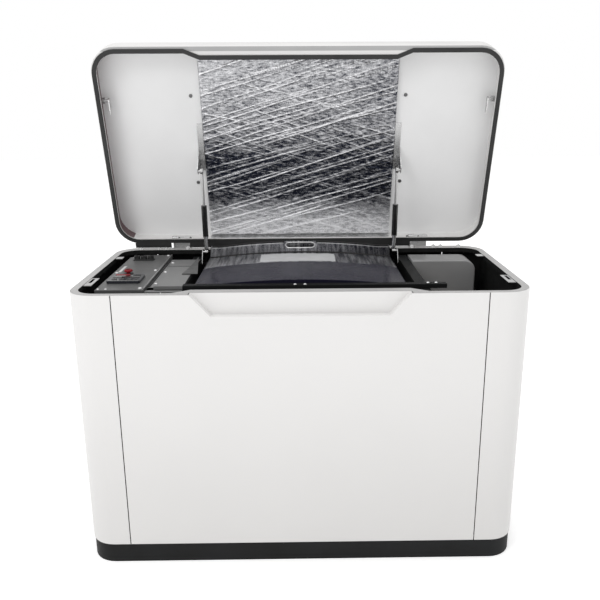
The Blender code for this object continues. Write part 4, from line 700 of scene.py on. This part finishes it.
def ribbon(name, tree, span, depth, thickness, material, columns=48, rows=4):
    """A thin strip laid over a curved cover: its x span, its y depth and its thickness."""
    clear_selection()
    bpy.ops.mesh.primitive_grid_add(x_subdivisions=columns, y_subdivisions=rows, size=1.0)
    strip = bpy.context.object
    strip.name = name
    for vertex in strip.data.vertices:
        x = span[0] + (span[1] - span[0]) * (vertex.co.x + 0.5)
        y = depth[0] + (depth[1] - depth[0]) * (vertex.co.y + 0.5)
        vertex.co = seat(tree, x, y, 0.0002).translation
    wall = strip.modifiers.new("wall", "SOLIDIFY")
    wall.thickness = thickness
    wall.offset = 1.0
    bpy.ops.object.modifier_apply(modifier=wall.name)
    bpy.ops.object.mode_set(mode="EDIT")
    bpy.ops.mesh.select_all(action="SELECT")
    bpy.ops.mesh.normals_make_consistent(inside=False)
    bpy.ops.object.mode_set(mode="OBJECT")
    bpy.ops.object.shade_smooth_by_angle(angle=math.radians(40))
    material_to(strip, material)
    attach(strip, "cabinet")


# Rubber trims run along the duct's ridge and rear edge, with a silver tape line before the edge.
# A blank pale label lies on the front slope.
TRIM_MARGIN = 0.004
TRIM_WALL = 0.0025
TAPE_WALL = 0.0005
TRIM_SLOT_HALF = 0.052
TAPE_SLOT_HALF = 0.056
RIDGE_TRIM = (0.2015, 0.2095)
EDGE_TRIM = (0.2585, 0.2640)
EDGE_TAPE = (0.2525, 0.2560)
DUCT_LABEL_SPAN = (-0.124, 0.108)
DUCT_LABEL_DEPTH = (0.074, 0.184)
DUCT_LABEL_WALL = 0.0004
trim_left = duct_low.x + TRIM_MARGIN
trim_right = duct_high.x - TRIM_MARGIN
ribbon("duct_ridge_trim", duct, (trim_left, trim_right), RIDGE_TRIM, TRIM_WALL, rubber)
ribbon("duct_edge_trim_left", duct, (trim_left, -TRIM_SLOT_HALF), EDGE_TRIM, TRIM_WALL, rubber)
ribbon("duct_edge_trim_right", duct, (TRIM_SLOT_HALF, trim_right), EDGE_TRIM, TRIM_WALL, rubber)
silver_line = coat("silver_tape", grey(0.85), grey(0.70), 0.3, 0.9, mottle=60.0)
ribbon("duct_edge_line_left", duct, (trim_left, -TAPE_SLOT_HALF), EDGE_TAPE, TAPE_WALL, silver_line)
ribbon("duct_edge_line_right", duct, (TAPE_SLOT_HALF, trim_right), EDGE_TAPE, TAPE_WALL, silver_line)
ribbon("duct_blank_label", duct, DUCT_LABEL_SPAN, DUCT_LABEL_DEPTH, DUCT_LABEL_WALL,
       coat("duct_label", grey(0.60, -0.01), grey(0.53, -0.01), 0.45, mottle=30.0))


# The hand slot in the duct's rear slope is edged with a bright oval grommet.
# It is a ring drawn out to the slot's length and laid on the slope.
GROMMET_PLACE = (0.0, 0.2435)
GROMMET_END = 0.0150
GROMMET_STRAIGHT = 0.0330
GROMMET_WALL = 0.0022
GROMMET_SPLIT = 0.003
BESIDE_SLOT = 0.03
BEFORE_SLOT = 0.02
clear_selection()
bpy.ops.mesh.primitive_torus_add(major_radius=GROMMET_END, minor_radius=GROMMET_WALL, major_segments=56,
                                 minor_segments=10)
grommet = bpy.context.object
grommet.name = "duct_slot_grommet"
for vertex in grommet.data.vertices:
    vertex.co.x += GROMMET_STRAIGHT * max(-1.0, min(1.0, vertex.co.x / GROMMET_SPLIT))
slope = seat(duct, GROMMET_PLACE[0] + GROMMET_STRAIGHT + BESIDE_SLOT, GROMMET_PLACE[1])
middle_front = seat(duct, 0.0, GROMMET_PLACE[1] - BEFORE_SLOT).translation
rise = slope.to_3x3().col[2]
tilt = math.atan2(-rise.y, rise.z)
middle_front.z += BEFORE_SLOT * math.tan(tilt)
middle_front.y = GROMMET_PLACE[1]
grommet.data.transform(Matrix.Translation(middle_front) @ Matrix.Rotation(tilt, 4, "X"))
bpy.ops.object.shade_smooth_by_angle(angle=math.radians(60))
material_to(grommet, silver_line)
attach(grommet, "cabinet")


# The front cross rail is a black folded channel that carries the deck plates' front edges.
# The plates lap over its left end, with a rubber seal along the joint.
def cut_across(piece, point, normal):
    """An edge loop where a plane crosses the piece."""
    take(piece)
    bpy.ops.object.mode_set(mode="EDIT")
    bpy.ops.mesh.select_all(action="SELECT")
    bpy.ops.mesh.bisect(plane_co=tuple(point), plane_no=tuple(normal))
    bpy.ops.object.mode_set(mode="OBJECT")


RAIL_LAP_X = -0.318
LAP_REACH = 0.021
LAP_FROM_PANEL = 0.001
LAP_GAP = 0.0003
LAP_BELOW = 0.0006
LAP_ABOVE = 0.0014
LAP_SEAL_START = 0.004
LAP_SEAL_FRONT = 0.0045
LAP_SEAL_BACK = 0.0008
LAP_SEAL_FOOT = 0.0016
LAP_SEAL_HEAD = 0.0030
RAIL_SCREWS = ((-0.015, -0.1765), (0.012, -0.1765), (0.346, -0.1700), (0.368, -0.1700))
RAIL_SCREW_RADIUS = 0.0040
rail = finished("front_cross_rail", satin_black)
cut_across(rail, (RAIL_LAP_X, 0, 0), (1, 0, 0))
plate_grey = coat("front_lap_powder", grey(0.15), grey(0.18), 0.4, grain=1100.0)
repaint(rail, plate_grey, lambda face: face.center.x < RAIL_LAP_X
        and (top_face(face) or face.normal.y < -0.9))
rail_low = Vector(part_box("front_cross_rail")[0])
slab("front_lap", (panel_high.x + LAP_FROM_PANEL, rail_low.y - LAP_REACH, rail_low.z - LAP_BELOW),
     (RAIL_LAP_X, rail_low.y - LAP_GAP, rail_low.z + LAP_ABOVE), plate_grey)
slab("front_lap_seal", (rail_low.x + LAP_SEAL_START, rail_low.y - LAP_SEAL_FRONT, rail_low.z + LAP_SEAL_FOOT),
     (RAIL_LAP_X, rail_low.y - LAP_SEAL_BACK, rail_low.z + LAP_SEAL_HEAD), rubber)
rail_surface = surface("front_cross_rail")
rail_places = [seat(rail_surface, x, y) for x, y in RAIL_SCREWS]
copies(pan_screw(RAIL_SCREW_RADIUS), "rail_screw", rail_places, bright_zinc)


# The right bay has a folded steel hood, open at the back, with one rounded upper corner.
# It is powder coated a middle grey.
bay_cover_grey = coat("bay_cover_powder", grey(0.30), grey(0.25), 0.34, 0.1, grain=1100.0)
finished("right_bay_cover", bay_cover_grey, edge=0.0015, rounds=3)


# The lid turns on two butt hinges at its rear edge.
# The cabinet leaves and the pins are zinc plated, the lid leaves painted with the lid.
lid_leaf_powder = coat("lid_leaf_powder", grey(0.62), grey(0.56), 0.4, grain=700.0)
for side in ("left", "right"):
    finished(f"hinge_body_leaf_{side}", zinc, edge=0.0004)
    finished(f"hinge_lid_leaf_{side}", lid_leaf_powder, edge=0.0004)
    finished(f"hinge_pin_{side}", zinc, edge=0.0004)


# The lid is one pressed and welded steel shell, white outside and pale grey inside.
# It is shaped shut, in the cabinet's own directions, and then turned open about the hinge line.
hinge_joint = next(joint for joint in frame["joints"] if joint["name"] == "lid_hinge")
hinge_line = Vector(hinge_joint["pos_m"])
opening = -math.radians(hinge_joint["range_deg"][1])
to_hinge = Matrix.Translation(hinge_line)
LID_OPENS = to_hinge @ Matrix.Rotation(opening, 4, "X") @ to_hinge.inverted()
LID_SHUTS = LID_OPENS.inverted()
LID_WALL_DEPTH = 0.012


def shut_box(node):
    """A lid node's lowest and highest corners as they are with the lid shut."""
    corners = [LID_SHUTS @ vertex.co for vertex in frame["nodes"][node].data.vertices]
    low = Vector(min(corner[axis] for corner in corners) for axis in range(3))
    high = Vector(max(corner[axis] for corner in corners) for axis in range(3))
    return low, high


lid_low, lid_high = shut_box("lid_shell")
lid_grey = coat("lid_inside_powder", grey(0.88), grey(0.84), 0.5, grain=600.0, relief=0.1)
lid_left_wall_dark = coat("lid_left_wall_red_brown", (0.10, 0.055, 0.06, 1), (0.13, 0.08, 0.085, 1), 0.4, mottle=14.0)
lid = finished("lid_shell", white, edge=0.0015, rounds=3)
SKIRT_BAND = 0.013
foil_half = max(abs(vertex.co.x) for vertex in frame["nodes"]["lid_foil_pad"].data.vertices)
shut_back = LID_OPENS.to_3x3() @ Vector((0, 1, 0))
cut_across(lid, LID_OPENS @ Vector((0, lid_low.y + SKIRT_BAND, 0)), shut_back)
for side in (-1, 1):
    cut_across(lid, (side * foil_half, 0, 0), (1, 0, 0))
# The white lip is painted a mid grey along its front band: painted shade, as the band gets little light from
# above.
skirt_painted_shade = coat("lid_skirt_powder", grey(0.42), grey(0.38), 0.45, grain=600.0)
# The turned-up foil's light and dark patches are painted reflection.
foil_turned_up = coat("foil_turned_up", grey(0.90), grey(0.55), 0.3, 0.85, mottle=70.0, relief=0.5)
INSIDE, LEFT_WALL_DARK, SKIRT, FOIL = range(1, 5)
for material in (lid_grey, lid_left_wall_dark, skirt_painted_shade, foil_turned_up):
    lid.data.materials.append(material)
for face in lid.data.polygons:
    place = LID_SHUTS @ face.center
    turned = (LID_SHUTS.to_3x3() @ face.normal).normalized()
    inside = lid_low.x + LID_WALL_DEPTH / 2 < place.x < lid_high.x - LID_WALL_DEPTH / 2
    if turned.z < -0.5 and place.z > lid_low.z + LID_WALL_DEPTH and inside:
        face.material_index = INSIDE
    # Only the left end wall's inner face is coloured a dark red-brown.
    if turned.x > 0.3 and place.x < 0:
        face.material_index = LEFT_WALL_DARK
    # The front band of the lip takes the painted shade.
    if turned.z < -0.5 and place.y < lid_low.y + SKIRT_BAND:
        face.material_index = SKIRT
    if turned.y < -0.5 and place.y > 0 and abs(place.x) < foil_half:
        face.material_index = FOIL


# A rubber bulb gasket lines the lid's lip all round.
# A strip of the same black rubber hangs from its rear side over the joint and clears the hinges: a dark sheet
# put where shade falls in the gap, painted shade.
finished("lid_gasket", rubber, edge=0.0015, rounds=3)
gasket_low, gasket_high = shut_box("lid_gasket")
FLAP_FROM_LEAF = 0.0004
FLAP_LEFT_END = -0.544
leaf_low, leaf_high = (Vector(point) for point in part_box("hinge_lid_leaf_left"))
FLAP_SPANS = (
    (FLAP_LEFT_END, leaf_low.x - FLAP_FROM_LEAF),
    (leaf_high.x + FLAP_FROM_LEAF, -leaf_high.x - FLAP_FROM_LEAF),
)
FLAP_REACH = 0.0168
FLAP_WALL = 0.0018
FLAP_LAP = 0.001
FLAP_LIFT = 0.0004
flap_foot = gasket_low.z + FLAP_LIFT
for number, (left, right) in enumerate(FLAP_SPANS):
    flap = slab(f"rear_shade_flap_{number + 1}", (left, gasket_high.y - FLAP_LAP, flap_foot),
                (right, gasket_high.y + FLAP_REACH, flap_foot + FLAP_WALL), rubber, body="lid")
    flap.data.transform(LID_OPENS)


# Pan head screws in dark zinc hold the lid's inner stiffeners.
# Black bolts through the lid's rear wall hold the hinge leaves.
LID_SCREWS = ((-0.329, -0.160), (-0.329, 0.118), (0.326, -0.160), (0.326, 0.118))
LID_SCREW_RADIUS = 0.0055
HINGE_BOLTS = (-0.403, -0.366, 0.359, 0.396)
BOLT_HEIGHT = 0.026
BOLT_FROM_BACK = 0.0032
BOLT_RADIUS = 0.0044
BOLT_HEAD = 0.004
face_down = Matrix.Rotation(math.pi, 4, "X")
inner_z = shut_box("lid_foil_pad")[1].z
screw_places = [LID_OPENS @ Matrix.Translation((x, y, inner_z)) @ face_down for x, y in LID_SCREWS]
dark_zinc = coat("dark_zinc", grey(0.12), grey(0.2), 0.35, 0.8)
copies(pan_screw(LID_SCREW_RADIUS), "lid_screw", screw_places, dark_zinc, "lid")
face_front = Matrix.Rotation(math.pi / 2, 4, "X")
bolt_places = [LID_OPENS @ Matrix.Translation((x, lid_high.y - BOLT_FROM_BACK, lid_low.z + BOLT_HEIGHT))
               @ face_front for x in HINGE_BOLTS]
black_bolt = coat("black_bolt", grey(0.010), grey(0.015), 0.7, specular_ior_level=0.08)
copies(stud_nut(BOLT_RADIUS, BOLT_HEAD), "hinge_bolt", bolt_places, black_bolt, "lid")


# The lid's middle is lined with a foil-faced foam mat, glued on: its skin is creased and crinkled.
# Long creases run up to the right, finer ones cross them, and a scrim grid shows through the foil.
foil_low, foil_high = shut_box("lid_foil_pad")
FOIL_PITCH = 0.0021
CREASE_DEPTH = 0.0030
CRINKLE_DEPTH = 0.0016
# How many creases, their slopes, their reach over the half width, and their strength.
CREASES = (
    (64, (0.25, 0.34), (0.5, 1.5), 1.0),
    (70, (-0.42, -0.18), (0.15, 0.6), 0.55),
)
CREASE_STRENGTH = (0.45, 1.0)
CREASE_WIDTH = (0.0012, 0.0020)
CREASE_SCATTER = 0.6
CREASE_LEAD = 0.05
CREASE_FADE = 1.6
WOBBLE = 0.0012
WOBBLE_RATE = (10, 25)
RIPPLES = 26
RIPPLE_ANGLE = (-0.5, 0.9)
RIPPLE_PITCH = (0.006, 0.030)
RIPPLE_DRIFT = 1.4
DRIFT_RATE = (15, 60)
RIPPLE_MEAN = 0.64
RIPPLE_SUM = 9
ANY_PHASE = (0, 6)
MAT_WALL = 0.004
MAT_EDGE = 0.006


def crease_field(across, along, chance):
    """Ridge heights from 0 to 1 on the mat: long rising creases and shorter falling ones."""
    field = np.zeros_like(across)
    span = foil_high.y - foil_low.y
    half = foil_high.x
    for count, slopes, reach, weight in CREASES:
        for line in range(count):
            start = span * (line + chance.uniform(-CREASE_SCATTER, CREASE_SCATTER)) / count - CREASE_LEAD
            slope = chance.uniform(*slopes)
            middle = chance.uniform(-half, half)
            length = half * chance.uniform(*reach)
            wobble = WOBBLE * np.sin(across * chance.uniform(*WOBBLE_RATE) + chance.uniform(*ANY_PHASE))
            offset = along - (start + slope * (across + half) + wobble)
            width = chance.uniform(*CREASE_WIDTH)
            fade = np.clip(CREASE_FADE - np.abs(across - middle) / length * CREASE_FADE, 0, 1)
            strength = weight * chance.uniform(*CREASE_STRENGTH)
            field = np.maximum(field, strength * fade * np.exp(-((offset / width) ** 2)))
    return field


def crumpled(across, along, chance):
    """A fine crinkle from many crossed ripples, between -1 and 1."""
    field = np.zeros_like(across)
    for _ in range(RIPPLES):
        angle = chance.uniform(*RIPPLE_ANGLE)
        pitch = chance.uniform(*RIPPLE_PITCH)
        phase = 2 * math.pi * (across * math.sin(angle) + along * math.cos(angle)) / pitch
        drift = RIPPLE_DRIFT * np.sin(across * chance.uniform(*DRIFT_RATE))
        drift += RIPPLE_DRIFT * np.sin(along * chance.uniform(*DRIFT_RATE))
        field += np.abs(np.sin(phase / 2 + drift + chance.uniform(*ANY_PHASE))) - RIPPLE_MEAN
    return field / RIPPLE_SUM


def foil_finish():
    """Aluminium skin in painted reflection: painted bright at its crown and foot, dark between, with the
    crinkle and creases painted light and dark, and the scrim.
    """
    finish = Finish("lid_foil", 0.28, metallic=1.0)
    height = finish.axis("Z")
    across = finish.axis("X")
    crease = finish.add("ShaderNodeAttribute", {"attribute_name": "crease"}, output="Fac")
    # Painted reflection: a bright crown at the upper left, a bright foot and a dark band between, as bands of
    # colour.
    crown = finish.between(height, 1.10, 1.36) * finish.between(across, 0.36, -0.30)
    foot = finish.between(height, 0.95, 0.86)
    dark_band_reflection = finish.between(height, 1.16, 1.08) * finish.between(height, 0.90, 0.97)
    flat = finish.noise(190.0, 4.0, finish.stretched((0.30, 1.0, 1.0), (0.0, -0.25, 0.0)))
    crinkle = 0.6 * flat + 0.4 * finish.noise(330.0, 3.0)
    weave = finish.add("ShaderNodeTexWave", {"bands_direction": "X"}, {"Vector": finish.place, "Scale": 62.0})
    weft = finish.add("ShaderNodeTexWave", {"bands_direction": "Z"}, {"Vector": finish.place, "Scale": 62.0})
    scrim = (weave ** 6.0) + (weft ** 6.0)
    reflection_dapple = finish.noise(9.0, 2.0) - 0.5
    tone = 0.24 + 0.30 * crown + 0.50 * foot - 0.24 * dark_band_reflection + 0.35 * reflection_dapple
    # The crinkle and the crease ridges are painted light and dark on top of their relief: painted reflection
    # and painted highlight.
    tone = tone + 2.6 * (crinkle - 0.5) + 1.1 * crease + 0.05 * scrim
    shade = finish.mix(finish.between(tone, 0.0, 1.0), (0.018, 0.021, 0.034, 1), (0.93, 0.93, 0.95, 1))
    finish.feed("Base Color", shade)
    finish.feed("Roughness", 0.22 + 0.25 * crinkle)
    # The painted bright foot is also made less metallic.
    finish.feed("Metallic", 1.0 - 0.75 * foot)
    finish.bump(crinkle + 0.25 * scrim, 0.5, 0.0016)
    return finish.material


def foil_mat():
    """The mat shaped shut from one fine grid, with its edge turned up, then opened with the lid."""
    chance = np.random.default_rng(17)
    size = foil_high - foil_low
    clear_selection()
    bpy.ops.mesh.primitive_grid_add(
        x_subdivisions=round(size.x / FOIL_PITCH),
        y_subdivisions=round(size.y / FOIL_PITCH),
        size=1.0,
        location=((foil_low + foil_high) / 2).to_tuple(),
    )
    mat = bpy.context.object
    mat.name = "lid_foil_mat"
    mat.scale = (size.x, size.y, 1.0)
    bpy.ops.object.transform_apply(location=True, rotation=True, scale=True)
    points = np.zeros(len(mat.data.vertices) * 3)
    mat.data.vertices.foreach_get("co", points)
    points = points.reshape(-1, 3)
    across = points[:, 0]
    along = foil_high.y - points[:, 1]
    creases = crease_field(across, along, chance)
    crinkle = crumpled(across, along, chance)
    edge = np.minimum(foil_high.x - np.abs(across), np.minimum(along, size.y - along))
    rounding = MAT_WALL * np.clip(1 - edge / MAT_EDGE, 0, 1) ** 2
    points[:, 2] = foil_low.z + MAT_WALL - CREASE_DEPTH * creases + CRINKLE_DEPTH * crinkle + rounding
    mat.data.vertices.foreach_set("co", points.ravel())
    ridge = mat.data.attributes.new("crease", "FLOAT", "POINT")
    ridge.data.foreach_set("value", creases)
    take(mat)
    bpy.ops.object.mode_set(mode="EDIT")
    bpy.ops.mesh.select_all(action="SELECT")
    bpy.ops.mesh.region_to_loop()
    bpy.ops.mesh.extrude_edges_move(TRANSFORM_OT_translate={"value": (0, 0, size.z - MAT_EDGE)})
    bpy.ops.transform.resize(value=(1, 1, 0), center_override=(0, 0, foil_high.z))
    bpy.ops.mesh.edge_face_add()
    bpy.ops.mesh.select_all(action="SELECT")
    bpy.ops.mesh.normals_make_consistent(inside=False)
    bpy.ops.object.mode_set(mode="OBJECT")
    bpy.ops.object.shade_smooth_by_angle(angle=math.radians(50))
    mat.data.transform(LID_OPENS)
    material_to(mat, foil_finish())
    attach(mat, "lid")
    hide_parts("lid_foil_pad")


foil_mat()


# Each gas strut is an enamelled cylinder and a plated rod between a cabinet foot and a bracket on the lid.
# The cylinder's lower end is a plated fitting.
STRUT_FITTING = 0.062
strut_black = coat("strut_enamel", grey(0.010), grey(0.016), 0.22, grain=700.0)
for side in ("left", "right"):
    finished(f"lid_strut_bracket_{side}", zinc, edge=0.0004)
    finished(f"strut_body_bracket_{side}", zinc, edge=0.0004)
    cylinder = finished(f"strut_cylinder_{side}", strut_black, edge=0.0006)
    foot = min((vertex.co for vertex in cylinder.data.vertices), key=lambda point: point.z)
    cut_across(cylinder, (0, 0, foot.z + STRUT_FITTING), (0, 0, 1))
    repaint(cylinder, zinc, lambda face: face.center.z < foot.z + STRUT_FITTING)
    finished(f"strut_rod_{side}", machined, edge=0.0004)


# A quarter-turn cam latch sits in each end wall of the lid: a plated barrel with its cam inside.
# The cams swing under the rim's keeper tabs.
for side in ("left", "right"):
    finished(f"latch_barrel_{side}", zinc, edge=0.0004)
    finished(f"latch_cam_{side}", zinc, edge=0.0004)
